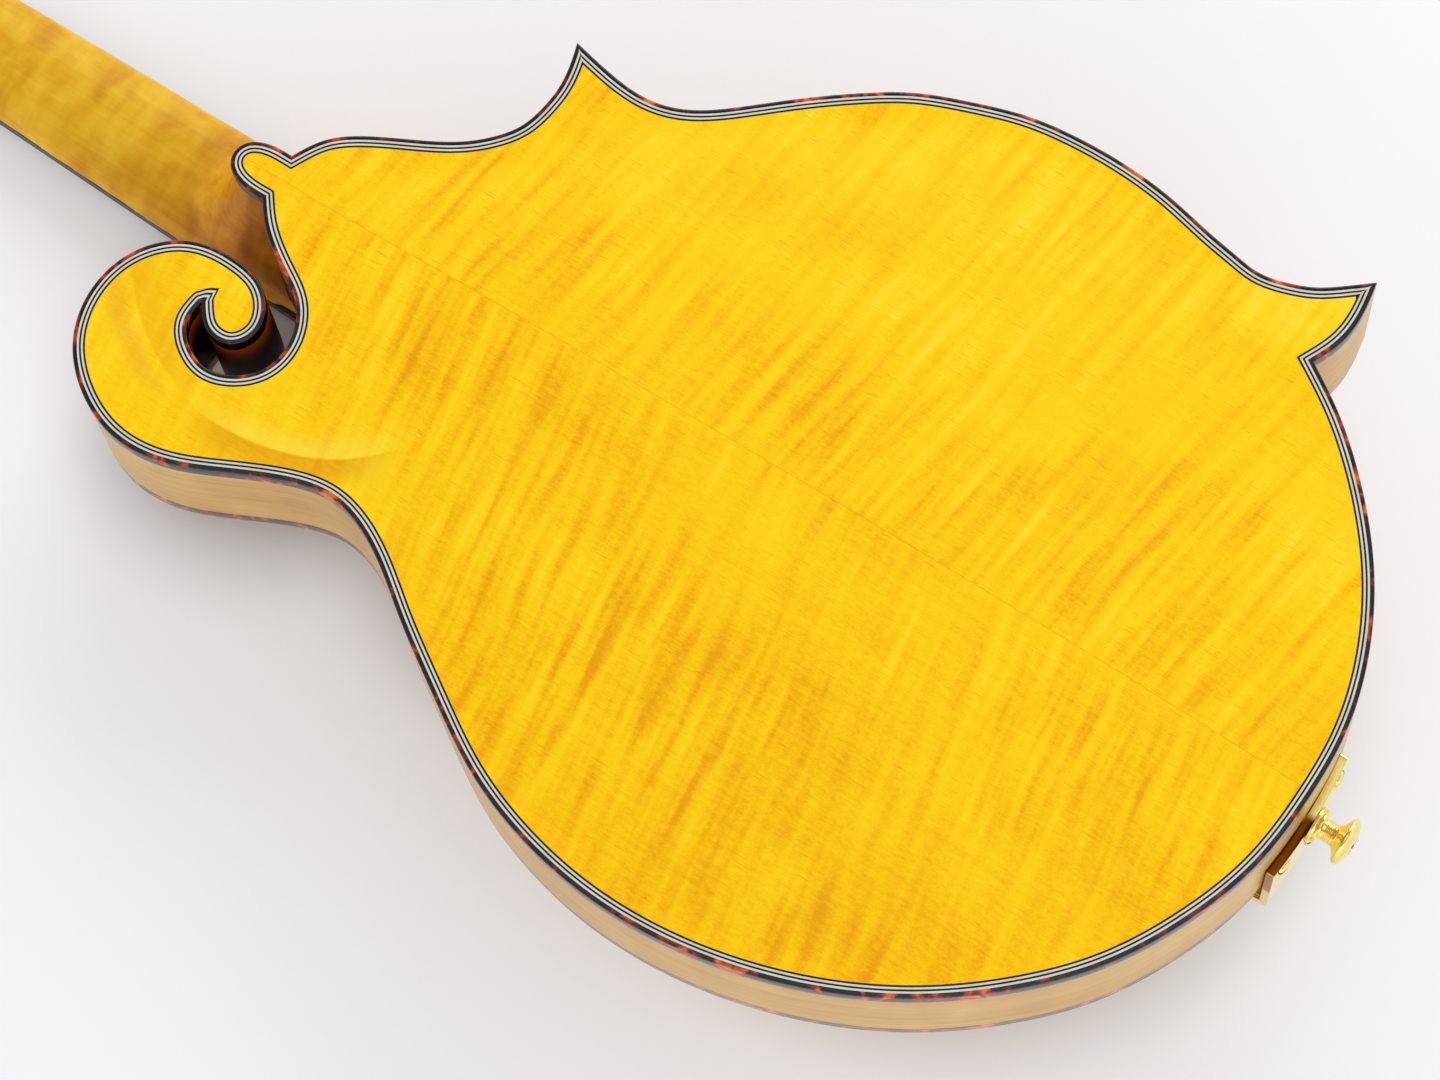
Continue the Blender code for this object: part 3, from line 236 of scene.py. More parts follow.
    # painted shade: a darker band in the hollow inside the ridge
    hollow_shade = f.calc("MULTIPLY", f.calc("MULTIPLY", f.steps(ridge, -13.0, -3.0), f.steps(ridge, -1.6, -0.6, 1.0, 0.0)), f.calc("MULTIPLY", f.steps(x, 316.0, 330.0), f.steps(y, 30.0, 44.0)))
    base = f.mix(f.calc("MULTIPLY", hollow_shade, f.steps(silk, 0.25, 0.7, 0.3, 0.6)), base, rgb(238, 172, 12))
    # the seam
    wobble = f.calc("MULTIPLY", f.calc("SUBTRACT", f.noise(f.vec(f.calc("MULTIPLY", x, 0.05), 0.0, 0.0), 1.0), 0.5), 0.25)
    seam = f.calc("ABSOLUTE", f.calc("ADD", y, wobble))
    base = f.mix(f.steps(seam, 0.03, 0.22, 0.30, 0.0), base, rgb(190, 120, 8))
    f.colour(base)
    f.rough(f.calc("MULTIPLY_ADD", grain, 0.10, 0.41))
    f.bump(f.calc("ADD", fibre, f.calc("MULTIPLY", silk, 0.5)), 0.03, 0.0004)
    return f.material


def honey_side():
    """Maple sides under a thin honey lacquer, their grain running round the body."""
    f = Finish("side_maple", Roughness=0.38, Coat_Roughness=0.15)
    grain = f.stretched(0.012, 0.012, 0.5, 3.0, 3.0, 0.6)
    curl = f.stretched(0.09, 0.09, 0.02, 8.0, 2.0, 0.5)
    patch = f.stretched(0.02, 0.02, 0.05, 14.0, 2.0, 0.5)
    hair = f.stretched(0.03, 0.03, 2.2, 19.0, 2.0, 0.5)
    tone = f.calc("ADD", f.calc("MULTIPLY", f.calc("SUBTRACT", grain, 0.5), 0.75), f.calc("MULTIPLY", f.calc("SUBTRACT", curl, 0.5), 0.35))
    tone = f.calc("ADD", f.calc("ADD", tone, f.calc("MULTIPLY", f.calc("SUBTRACT", patch, 0.5), 0.5)), 0.5)
    base = f.ramp(tone, (0.2, rgb(180, 124, 46)), (0.5, rgb(202, 156, 70)), (0.8, rgb(218, 180, 96)))
    base = f.mix(f.steps(hair, 0.58, 0.72, 0.0, 0.22), base, rgb(160, 106, 52))
    # dark brown stain inside the scroll's slot, orange-brown near the back, with painted shade deepening to near black
    # further in
    x, y, z = f.axes()
    dx, dy = f.calc("SUBTRACT", x, 322.0), f.calc("SUBTRACT", y, 39.0)
    reach = f.calc("SQRT", f.calc("ADD", f.calc("MULTIPLY", dx, dx), f.calc("MULTIPLY", dy, dy)))
    # painted shade: the wall gets darker the further it lies from the back
    slot_stain_and_shade = f.mix(f.steps(f.calc("MULTIPLY_ADD", f.calc("SUBTRACT", tone, 0.5), 9.0, z), 27.0, 41.0), rgb(30, 12, 6), rgb(188, 96, 16))
    inside = f.steps(reach, 20.5, 25.0, 1.0, 0.0)
    base = f.mix(inside, base, slot_stain_and_shade)
    f.put(f.surface.inputs["Coat Weight"], f.calc("MULTIPLY_ADD", inside, -0.16, 0.18))
    f.put(f.surface.inputs["Specular IOR Level"], f.calc("MULTIPLY_ADD", inside, -0.26, 0.34))
    f.colour(base)
    f.bump(hair, 0.03, 0.0004)
    return f.material


def golden_neck(name="neck_maple"):
    """Curly maple under a deeper golden-brown lacquer, in the neck's own frame."""
    f = Finish(name, Roughness=0.46, Coat_Weight=0.04, Coat_Roughness=0.2, Specular_IOR_Level=0.15)
    x, y, z = f.axes()
    mottle = f.noise(f.vec(f.calc("MULTIPLY", x, 0.075), f.calc("MULTIPLY", y, 0.10), f.calc("MULTIPLY", z, 0.10)), 3.0, 0.55, 0.5)
    curl = f.noise(f.vec(f.calc("MULTIPLY", x, 0.15), f.calc("MULTIPLY", y, 0.03), f.calc("MULTIPLY", z, 0.03)), 2.0, 0.55)
    grain = f.noise(f.vec(f.calc("MULTIPLY", x, 0.012), f.calc("MULTIPLY", y, 0.7), f.calc("MULTIPLY", z, 0.7)), 3.0, 0.6)
    tone = f.calc("ADD", f.calc("MULTIPLY", f.calc("SUBTRACT", mottle, 0.5), 0.9), f.calc("MULTIPLY", f.calc("SUBTRACT", curl, 0.5), 0.9))
    tone = f.calc("ADD", f.calc("ADD", tone, f.calc("MULTIPLY", f.calc("SUBTRACT", grain, 0.5), 0.35)), 0.5)
    base = f.ramp(tone, (0.10, rgb(202, 134, 10)), (0.38, rgb(220, 162, 20)), (0.60, rgb(232, 182, 34)), (0.90, rgb(242, 200, 60)))
    # redder and darker where the lacquer gathers at the heel
    near = f.steps(x, 6.0, 46.0, 1.0, 0.0)
    deep = f.ramp(tone, (0.2, rgb(158, 72, 12)), (0.5, rgb(202, 112, 18)), (0.8, rgb(226, 150, 38)))
    base = f.mix(f.calc("MULTIPLY", near, 0.8), base, deep)
    f.colour(base)
    f.bump(grain, 0.03, 0.0004)
    return f.material


def tortoise(name="tortoise", shift=0.0, shine=0.5):
    f = Finish(name, Roughness=0.16, Coat_Weight=0.12, Coat_Roughness=0.05, IOR=1.45, Specular_IOR_Level=shine)
    big = f.stretched(0.13, 0.13, 0.10, 2.0, 2.5, 0.6, 0.6)
    small = f.stretched(0.45, 0.45, 0.35, 7.0, 2.0, 0.5, 0.3)
    mixed = f.calc("ADD", big, f.calc("MULTIPLY", f.calc("SUBTRACT", small, 0.5), 0.22))
    base = f.ramp(mixed, (0.46 - shift, rgb(18, 9, 12)), (0.53 - shift, rgb(54, 15, 11)), (0.585 - shift, rgb(118, 34, 13)), (0.64 - shift, rgb(184, 68, 15)), (0.71 - shift, rgb(222, 110, 18)))
    f.colour(base)
    f.bump(small, 0.02, 0.0003)
    return f.material


def line_plastic(name, colour, dark):
    f = Finish(name, Roughness=0.35, Coat_Weight=0.05, Coat_Roughness=0.12, Specular_IOR_Level=0.3)
    grime = f.stretched(0.15, 0.15, 0.15, 5.0, 3.0, 0.6)
    f.colour(f.mix(f.steps(grime, 0.35, 0.75, 0.0, 0.35), colour, dark))
    return f.material


def spruce_face():
    """Carved spruce under amber lacquer: straight fine grain along the body, evenly spaced with a slow drift."""
    f = Finish("face_spruce", Roughness=0.36, Coat_Weight=0.3, Coat_Roughness=0.14)
    x, y, z = f.axes()
    drift = f.noise(f.vec(f.calc("MULTIPLY", x, 0.006), f.calc("MULTIPLY", y, 0.02), 0.0), 1.0)
    line = f.calc("MULTIPLY_ADD", drift, 5.0, f.calc("ABSOLUTE", y))
    ring = f.calc("FRACT", f.calc("MULTIPLY", line, 0.72))
    late = f.calc("MULTIPLY", f.steps(ring, 0.45, 0.92), f.steps(ring, 0.99, 0.93))
    silk = f.noise(f.vec(f.calc("MULTIPLY", x, 0.05), f.calc("MULTIPLY", y, 0.9), 3.0), 3.0, 0.6)
    patch = f.noise(f.vec(f.calc("MULTIPLY", x, 0.012), f.calc("MULTIPLY", y, 0.02), 9.0), 2.0)
    base = f.ramp(f.calc("ADD", f.calc("MULTIPLY", silk, 0.6), f.calc("MULTIPLY", patch, 0.4)), (0.3, rgb(222, 158, 44)), (0.7, rgb(240, 186, 70)))
    base = f.mix(f.calc("MULTIPLY", late, 0.42), base, rgb(176, 104, 26))
    seam = f.calc("ABSOLUTE", y)
    base = f.mix(f.steps(seam, 0.06, 0.3, 0.4, 0.0), base, rgb(140, 84, 24))
    f.colour(base)
    f.bump(late, 0.04, 0.0003)
    return f.material


def bare_wood(name, light, dark):
    f = Finish(name, Roughness=0.7)
    grain = f.stretched(0.02, 0.6, 0.6, 3.0, 3.0, 0.6)
    base = f.ramp(grain, (0.3, dark), (0.7, light))
    f.colour(base)
    f.bump(grain, 0.15, 0.0003)
    return f.material


def ebony():
    f = Finish("ebony", Roughness=0.42, Coat_Weight=0.08, Coat_Roughness=0.3)
    grain = f.stretched(0.02, 1.1, 1.1, 5.0, 3.0, 0.65)
    pores = f.stretched(0.12, 3.2, 3.2, 11.0, 2.0, 0.6)
    base = f.ramp(grain, (0.3, rgb(22, 18, 17)), (0.6, rgb(38, 31, 28)), (0.85, rgb(58, 46, 38)))
    base = f.mix(f.steps(pores, 0.6, 0.72, 0.0, 0.7), base, rgb(8, 7, 7))
    f.colour(base)
    f.rough(f.calc("MULTIPLY_ADD", grain, 0.2, 0.32))
    f.bump(pores, 0.12, 0.0002)
    return f.material


def bone():
    f = Finish("bone", Roughness=0.32, Subsurface_Weight=0.08, Coat_Weight=0.15)
    grain = f.stretched(0.5, 0.12, 0.5, 5.0, 3.0, 0.6)
    f.colour(f.ramp(grain, (0.3, rgb(214, 202, 168)), (0.7, rgb(240, 232, 208))))
    return f.material


def gold(name="gold_plate", low=0.10, high=0.22, painted_reflection=False):
    """Polished gold plate, with faint rub marks; with the last flag set, a painted reflection in browns darkens the
    upper edge and its corner.
    """
    f = Finish(name, Metallic=1.0)
    rub = f.stretched(0.5, 0.5, 0.5, 3.0, 4.0, 0.6)
    fine = f.stretched(0.15, 2.5, 2.5, 9.0, 2.0, 0.5)
    base = f.ramp(rub, (0.25, rgb(240, 214, 126)), (0.6, rgb(250, 230, 148)), (0.9, rgb(253, 238, 168)))
    if painted_reflection:  # painted reflection: brown along the bass half of the plate's upper edge, and round its corner
        x, y, z = f.axes()
        reflection_browns = f.mix(f.steps(x, -2.4, -1.2), rgb(64, 28, 6), rgb(132, 70, 12))
        base = f.mix(f.calc("MULTIPLY", f.steps(z, 20.45, 20.8), f.steps(y, -1.5, 1.5)), base, reflection_browns)
        base = f.mix(f.calc("MULTIPLY", f.steps(y, 19.7, 19.85), f.steps(z, 1.5, 4.0)), base, rgb(176, 108, 26))
    f.colour(base)
    f.rough(f.steps(rub, 0.3, 0.9, low, high))
    f.bump(fine, 0.006, 0.0001)
    return f.material


def metal(name, light, dark, low, high):
    f = Finish(name, Metallic=1.0)
    rub = f.stretched(0.4, 1.5, 1.5, 3.0, 3.0, 0.6)
    f.colour(f.ramp(rub, (0.3, dark), (0.7, light)))
    f.rough(f.steps(rub, 0.3, 0.7, low, high))
    f.bump(rub, 0.03, 0.0001)
    return f.material


def wound():
    """Bronze winding: fine ridges along the string, which runs along x of its own frame."""
    f = Finish("wound_bronze", Metallic=1.0, Roughness=0.3)
    x, y, z = f.axes()
    ridge = f.calc("ABSOLUTE", f.calc("SINE", f.calc("MULTIPLY", x, math.pi / 0.26)))
    # painted shade: the grooves between the turns are coloured darker than their crests
    f.colour(f.mix(ridge, rgb(120, 78, 36), rgb(206, 152, 86)))
    f.bump(ridge, 0.6, 0.0001)
    return f.material


def pearl():
    f = Finish("pearl", Roughness=0.2, Coat_Weight=0.6, Coat_Roughness=0.05)
    cloud = f.stretched(0.09, 0.14, 0.09, 6.0, 3.0, 0.6, 1.4)
    f.colour(f.ramp(cloud, (0.3, rgb(206, 202, 190)), (0.5, rgb(238, 234, 222)), (0.62, rgb(220, 226, 222)), (0.8, rgb(246, 240, 228))))
    return f.material


MAPLE_BACK, MAPLE_SIDE, MAPLE_NECK = flamed_back(), honey_side(), golden_neck()
TORTOISE = tortoise()
TORTOISE_FACE = tortoise("tortoise_face", 0.06, 0.3)
WHITE = line_plastic("line_white", rgb(216, 218, 206), rgb(182, 172, 136))
BLACK = line_plastic("line_black", rgb(14, 15, 20), rgb(26, 22, 20))
SPRUCE, EBONY, BONE, GOLD = spruce_face(), ebony(), bone(), gold()
GOLD_SATIN = gold("gold_satin", 0.22, 0.36)
# the tail plate's gold, with a painted reflection in browns on its edge
GOLD_EDGE = gold("gold_edge", 0.08, 0.18, True)
RAW_SPRUCE = bare_wood("raw_spruce", rgb(226, 200, 150), rgb(196, 164, 110))
RAW_MAPLE = bare_wood("raw_maple", rgb(208, 174, 124), rgb(180, 142, 94))
STEEL = metal("string_steel", rgb(210, 210, 210), rgb(150, 150, 150), 0.2, 0.4)
NICKEL = metal("fret_nickel", rgb(222, 218, 208), rgb(176, 172, 164), 0.16, 0.34)
BRONZE, PEARL = wound(), pearl()
DARK_PLASTIC = line_plastic("cover_black", rgb(20, 20, 22), rgb(34, 32, 30))


# ---------------------------------------------------------------- meshes
def piece(name, points, faces, finish, matrix=None, body=MAIN, smooth=35.0, closed=True, bevel=0.0, segments=2, instead=(), slot=None, level=0):
    """A mesh from points in mm, in the frame given by matrix (in mm in the body's frame), riding on a body."""
    bm = bmesh.new()
    verts = [bm.verts.new(Vector(p) * 0.001) for p in points]
    for face in faces:
        distinct = []
        for i in face:
            if i not in distinct:
                distinct.append(i)
        if len(distinct) > 2:
            try:
                bm.faces.new([verts[i] for i in distinct])
            except ValueError:
                pass
    bmesh.ops.remove_doubles(bm, verts=bm.verts, dist=2e-6)
    bmesh.ops.dissolve_degenerate(bm, edges=bm.edges, dist=1e-7)
    loose = [v for v in bm.verts if not v.link_faces]
    bmesh.ops.delete(bm, geom=loose, context="VERTS")
    if closed:
        bmesh.ops.recalc_face_normals(bm, faces=bm.faces)
    mesh = bpy.data.meshes.new(name)
    bm.to_mesh(mesh)
    bm.free()
    obj = bpy.data.objects.new(name, mesh)
    bpy.context.scene.collection.objects.link(obj)
    obj.matrix_world = placed(matrix)
    for m in finish if isinstance(finish, (list, tuple)) else [finish]:
        mesh.materials.append(m)
    if smooth:
        mesh.shade_smooth()
        mesh.set_sharp_from_angle(angle=math.radians(smooth))
    if bevel:
        b = obj.modifiers.new("bevel", "BEVEL")
        b.width = bevel * 0.001
        b.segments = segments
        b.limit_method = "ANGLE"
        b.angle_limit = math.radians(40)
        b.harden_normals = False
    if level:
        s = obj.modifiers.new("subdivision", "SUBSURF")
        s.levels = s.render_levels = level
    if body:
        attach(obj, body)
    if instead:
        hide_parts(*instead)
    return obj


def levelled(obj):
    """Gives a piece the world's axes in place of the body's, so that its own box is no larger than the piece."""
    obj.data.transform(obj.matrix_world)
    obj.matrix_world = Matrix()
    return obj


def rings(levels, closed=True, caps=True):
    """Points and faces of a skin over rings of equally many points."""
    n = len(levels[0])
    points = [tuple(p) for ring in levels for p in ring]
    faces = []
    for k in range(len(levels) - 1):
        for i in range(n if closed else n - 1):
            j = (i + 1) % n
            faces.append((k * n + i, k * n + j, (k + 1) * n + j, (k + 1) * n + i))
    if caps:
        faces.append(tuple(range(n))[::-1])
        faces.append(tuple((len(levels) - 1) * n + i for i in range(n)))
    return points, faces


def loops(section, closed=True):
    """Points and faces of a bar whose cross-section is given at each place along it."""
    n, count = len(section[0]), len(section)
    points = [tuple(p) for ring in section for p in ring]
    faces = []
    for k in range(count if closed else count - 1):
        m = (k + 1) % count
        for i in range(n):
            j = (i + 1) % n
            faces.append((k * n + i, k * n + j, m * n + j, m * n + i))
    if not closed:
        faces.append(tuple(range(n))[::-1])
        faces.append(tuple((count - 1) * n + i for i in range(n)))
    return points, faces


def prism(outline, z0, z1):
    return rings([[(x, y, z0) for x, y in outline], [(x, y, z1) for x, y in outline]])


def boxed(low, high):
    (x0, y0, z0), (x1, y1, z1) = low, high
    return prism([(x0, y0), (x1, y0), (x1, y1), (x0, y1)], z0, z1)


def lathe(profile, sides=48, turn=0.0, squash=1.0):
    """A turned body about z; profile is (radius, z) from the lower end to the upper."""
    levels = []
    for r, z in profile:
        r = max(r, 1e-4)
        levels.append([(r * math.cos(turn + math.tau * i / sides), squash * r * math.sin(turn + math.tau * i / sides), z) for i in range(sides)])
    return rings(levels)


def lathe_ring(section, sides=48):
    """A turned ring: the closed cross-section, as (radius, z) pairs, taken round z."""
    return loops([[(r * math.cos(math.tau * k / sides), r * math.sin(math.tau * k / sides), z) for r, z in section] for k in range(sides)])


def tube(path, r, sides=12):
    """A round wire along a path."""
    p = [Vector(q) for q in path]
    levels = []
    for i, q in enumerate(p):
        along = (p[min(i + 1, len(p) - 1)] - p[max(i - 1, 0)]).normalized()
        across = Vector((0, 1, 0)) if abs(along.y) < 0.9 else Vector((1, 0, 0))
        u = across.cross(along).normalized()
        v = along.cross(u)
        levels.append([tuple(q + (u * math.cos(math.tau * k / sides) + v * math.sin(math.tau * k / sides)) * r) for k in range(sides)])
    return rings(levels)


def coil(radius, pitch, turns, r, z0, sides=8, start=0.0):
    """A wire wound about z, from z0 upwards."""
    n = int(turns * 28)
    path = []
    for k in range(n + 1):
        a = start + math.tau * turns * k / n
        path.append(Vector((radius * math.cos(a), radius * math.sin(a), z0 + pitch * turns * k / n)))
    levels = []
    for k, q in enumerate(path):
        out = Vector((q.x, q.y, 0)).normalized()
        fade = min(1.0, 0.25 + min(k, n - k) / 5)
        levels.append([tuple(q + (out * math.cos(math.tau * i / sides) + Vector((0, 0, 1)) * math.sin(math.tau * i / sides)) * r * fade) for i in range(sides)])
    return rings(levels)


def screw_head(radius, tall, slot):
    """A domed screw head on z = 0, with a slot sunk across it."""
    sides, levels = 48, []
    profile = [(radius, 0.0), (radius, tall * 0.25), (radius * 0.96, tall * 0.45), (radius * 0.82, tall * 0.72), (radius * 0.6, tall * 0.9), (radius * 0.3, tall * 0.98)]
    half = max(0.22, radius * 0.11)
    points, faces = [], []
    for sign in (1, -1):
        ring_levels = []
        for r, z in profile + [(0.0, tall)]:
            ring = []
            reach = math.sqrt(max(r * r - half * half, 0.0))
            a0 = math.atan2(half, reach)
            for k in range(25):
                a = a0 + (math.pi - 2 * a0) * k / 24
                x, y = (r * math.cos(a), r * math.sin(a)) if r > half else ((1 - k / 12) * r, half)
                ring.append((sign * x, sign * max(y, half), z))
            ring_levels.append(ring)
        shape = rings(ring_levels, closed=True)
        base = len(points)
        points += shape[0]
        faces += [tuple(i + base for i in f) for f in shape[1]]
    floor_shape = lathe([(radius * 0.98, 0.0), (radius * 0.98, max(tall - slot, 0.1))], 48)
    base = len(points)
    points += floor_shape[0]
    faces += [tuple(i + base for i in f) for f in floor_shape[1]]
    return points, faces


def joined(*shapes):
    """Several (points, faces) as one."""
    points, faces = [], []
    for p, f in shapes:
        base = len(points)
        points += list(p)
        faces += [tuple(i + base for i in face) for face in f]
    return points, faces


def moved(shape, matrix):
    return [tuple(matrix @ Vector(p)) for p in shape[0]], shape[1]


def spline(stations, step):
    """A natural cubic spline through the stations, with a point about every step(x, y) units."""
    p = np.array(stations, float)
    count = len(p)
    t = np.r_[0, np.cumsum(np.hypot(*np.diff(p, axis=0).T))]
    h = np.diff(t)
    a = np.eye(count)
    b = np.zeros((count, 2))
    for i in range(1, count - 1):
        a[i, i - 1 : i + 2] = h[i - 1], 2 * (h[i - 1] + h[i]), h[i]
        b[i] = 3 * ((p[i + 1] - p[i]) / h[i] - (p[i] - p[i - 1]) / h[i - 1])
    c = np.linalg.solve(a, b)

    def at(s):
        i = min(int(np.searchsorted(t, s, "right")) - 1, count - 2)
        u = s - t[i]
        slope = (p[i + 1] - p[i]) / h[i] - h[i] * (2 * c[i] + c[i + 1]) / 3
        return p[i] + slope * u + c[i] * u * u + (c[i + 1] - c[i]) / (3 * h[i]) * u**3

    places = [0.0]
    while places[-1] < t[-1]:
        places.append(places[-1] + step(*at(places[-1])))
    places = np.array(places) * t[-1] / places[-1]
    return [tuple(at(s)) for s in places]


# ---------------------------------------------------------------- the body's outline
LOWER_TREBLE = [(61.5, -104.5), (49, -96), (37, -85.5), (26, -73.5), (16.5, -60.5), (9, -46.5), (3.5, -31.5), (0.5, -16), (0, 0)]
BASS = [(2.5, 25.5), (10.5, 48.5), (22.5, 69.5), (38.5, 87), (57.5, 102), (78.5, 113.5), (101, 121.5), (124.5, 126),
        (148.5, 126.5), (172, 122.5), (194.5, 114), (215, 101.5), (235, 88), (254.5, 74.5), (269.5, 70), (285, 73.5),
        (299.5, 80), (314.5, 86), (330.5, 87), (345, 81), (356, 69.5), (360, 54), (356, 39), (344.5, 28.5), (329, 26.5),
        (321, 28.5), (315.5, 33.5), (313.5, 41.5), (318, 48), (325.5, 48), (331.5, 42)]
SLOT = [(331.5, 42), (331.5, 48.5), (326.5, 54.5), (319.5, 57), (311.5, 54.5), (306, 49), (304, 42), (305.5, 34),
        (310, 27.5), (316.5, 23), (323.5, 18.5), (329.5, 13.5), (334.5, 7.5)]
BUTTON = [(334.5, 7.5), (342, 7), (347.5, 4), (349, 0), (347.5, -4), (342, -7), (334.5, -7.5)]
SHOULDER = [(334.5, -7.5), (329, -16.5), (323, -21.5), (316, -25.5), (309, -29), (295, -37), (289, -42.5), (284.5, -49),
            (282.5, -56.5), (282, -64.5), (285, -78)]
TREBLE = [(285, -78), (271.5, -75), (263.5, -74), (255.5, -74.5), (248, -77), (235, -86), (222.5, -96.5), (210, -106),
          (196.5, -114.5), (181.5, -120.5), (166.5, -125), (150.5, -127), (134.5, -127), (118.5, -125), (103, -121.5),
          (95, -120), (87.5, -119), (79.5, -120.5), (72, -123.5), (65.5, -128), (58.5, -133.5)]
HOOK = [(58.5, -133.5), (57, -121), (58, -113), (61.5, -104.5)]


class Edge:
    """The closed outline, finely, with the direction that its insets move in and how far each may go."""

    def __init__(self, button):
        fine = lambda x, y: 1.6 if x < 255 else 0.9
        self.at, points = {}, []

        def add(name, curve):
            self.at[name] = len(points)
            points.extend(curve[:-1])

        around = spline(LOWER_TREBLE + BASS, fine)
        tail = min(range(len(around)), key=lambda i: math.hypot(*around[i]))
        around[tail] = (0.0, 0.0)
        add("tail", around[tail:])
        add("cusp", spline(SLOT, fine))
        add("heel_bass", spline(BUTTON, lambda x, y: 0.7) if button else [BUTTON[0], BUTTON[-1]])
        add("heel_treble", spline(SHOULDER, fine))
        add("upper_tip", spline(TREBLE, fine))
        add("lower_tip", spline(HOOK, lambda x, y: 1.0))
        add("corner", around[: tail + 1])
        p = self.p = np.array(points)
        d1, d2 = p - np.roll(p, 1, 0), np.roll(p, -1, 0) - p
        n1 = np.column_stack([d1[:, 1], -d1[:, 0]]) / np.hypot(*d1.T)[:, None]
        n2 = np.column_stack([d2[:, 1], -d2[:, 0]]) / np.hypot(*d2.T)[:, None]
        self.v = (n1 + n2) / (1 + (n1 * n2).sum(1))[:, None]
        self.n = len(p)
        # The lines turn round the end of the slot, and come to a hooked point beside it.
        c = self.at["cusp"]
        fan = [(1.0, 223), (1.2, 236), (1.81, 252), (1.45, 268), (1.26, 281), (1.08, 295), (1.0, 310), (1.0, 325), (1.0, 340)]
        fan = np.array([(k * math.cos(math.radians(a)), k * math.sin(math.radians(a))) for k, a in fan])
        self.p = p = np.vstack([p[:c], np.repeat(p[c : c + 1], len(fan), 0), p[c + 1 :]])
        self.v = np.vstack([self.v[:c], fan, self.v[c + 1 :]])
        self.at = {name: i + (len(fan) - 1 if i > c else 0) for name, i in self.at.items()}
        self.n = len(p)
        low, high = np.zeros(self.n), np.full(self.n, 12.0)
        for _ in range(14):
            mid = (low + high) / 2
            q = p + self.v * mid[:, None]
            free = self.distance(q) > mid * 0.995 - 0.004
            low, high = np.where(free, mid, low), np.where(free, high, mid)
        self.reach = low

    def distance(self, q):
        """Distance of each point from the outline."""
        p, d = self.p, np.roll(self.p, -1, 0) - self.p
        dd = np.maximum((d * d).sum(1), 1e-12)
        best = np.empty(len(q))
        for k in range(0, len(q), 400):
            w = q[k : k + 400, None, :] - p[None]
            s = np.clip((w * d[None]).sum(2) / dd[None], 0, 1)
            best[k : k + 400] = np.sqrt(((w - s[..., None] * d[None]) ** 2).sum(2)).min(1)
        return best

    def ring(self, width):
        """The outline moved in by width; where two sides meet first, the points wait on the mitre."""
        return self.p + self.v * np.minimum(width, self.reach)[:, None]

    def clean(self, width):
        """The same, without the points that wait."""
        ring, keep = self.ring(width), self.reach >= width
        kept = ring[keep]
        gap = np.hypot(*(np.roll(kept, -1, 0) - kept).T)
        return kept[gap > 0.05]

    def holds(self, x, y):
        q = np.roll(self.p, -1, 0)
        found = np.zeros(np.shape(x), bool)
        for (x1, y1), (x2, y2) in zip(self.p, q):
            if y1 != y2:
                crosses = (y1 > y) != (y2 > y)
                found ^= crosses & (x < (x2 - x1) * (y - y1) / (y2 - y1) + x1)
        return found


back_edge, face_edge = Edge(True), Edge(False)


class Arching:
    """The carved rise: a membrane held at the purfling, eased into a recurve near the edge."""

    REACH = 38.0

    def __init__(self, edge, width=3.6):
        self.x0, self.y0, cell = -6.0, -140.0, 4.0
        h = None
        while True:
            nx, ny = int(372 / cell) + 2, int(276 / cell) + 2
            gx, gy = self.x0 + cell * np.arange(nx), self.y0 + cell * np.arange(ny)
            x, y = np.meshgrid(gx, gy, indexing="ij")
            inner = edge.holds(x, y)
            far = np.zeros(x.shape)
            far[inner] = edge.distance(np.column_stack([x[inner], y[inner]]))
            held = far < width
            if h is None:
                h, rounds = np.zeros(x.shape), 700
            else:
                i = np.clip(np.arange(nx) / 2, 0, h.shape[0] - 1.001)
                j = np.clip(np.arange(ny) / 2, 0, h.shape[1] - 1.001)
                a, b = i.astype(int), j.astype(int)
                u, v = (i - a)[:, None], (j - b)[None]
                h = (h[a][:, b] * (1 - u) + h[a + 1][:, b] * u) * (1 - v) + (h[a][:, b + 1] * (1 - u) + h[a + 1][:, b + 1] * u) * v
                rounds = 260
            k = (cell / self.REACH) ** 2
            for _ in range(rounds):
                around = np.roll(h, 1, 0) + np.roll(h, -1, 0) + np.roll(h, 1, 1) + np.roll(h, -1, 1)
                h = (around + k) / (4 + k)
                h[held] = 0
            if cell <= 1.0:
                break
            cell /= 2
        self.h, self.cell = h / h.max(), cell

    def level(self, x, y):
        x, y = np.asarray(x, float), np.asarray(y, float)
        u = np.clip((x - self.x0) / self.cell, 1, self.h.shape[0] - 3.001)
        v = np.clip((y - self.y0) / self.cell, 1, self.h.shape[1] - 3.001)
        i, j = u.astype(int), v.astype(int)
        u, v = u - i, v - j
        cubic = lambda s: (((-s + 2) * s - 1) * s / 2, ((3 * s - 5) * s * s + 2) / 2, ((-3 * s + 4) * s + 1) * s / 2, (s - 1) * s * s / 2)
        a, b = cubic(u), cubic(v)
        return sum(a[m] * sum(b[n] * self.h[i + m - 1, j + n - 1] for n in range(4)) for m in range(4))

    def __call__(self, x, y):
        f = self.level(x, y)
        return 1.3 * np.maximum(f - 0.18, 0.0) ** 1.35 - 0.07 * np.exp(-(((f - 0.13) / 0.08) ** 2)) * (1 - np.exp(-((f / 0.02) ** 2)))


arch = Arching(back_edge)

# ---------------------------------------------------------------- binding and lines
# Widths in from the edge: tortoise, white, black, white, black, then the plate.
STRIPS = ((1.30, 1.88, WHITE, "white_outer"), (1.88, 2.43, BLACK, "black_outer"), (2.43, 3.00, WHITE, "white_inner"), (3.00, 3.57, BLACK, "black_inner"))
PLATE_IN = 3.57
SIDE_BINDING = 5.2


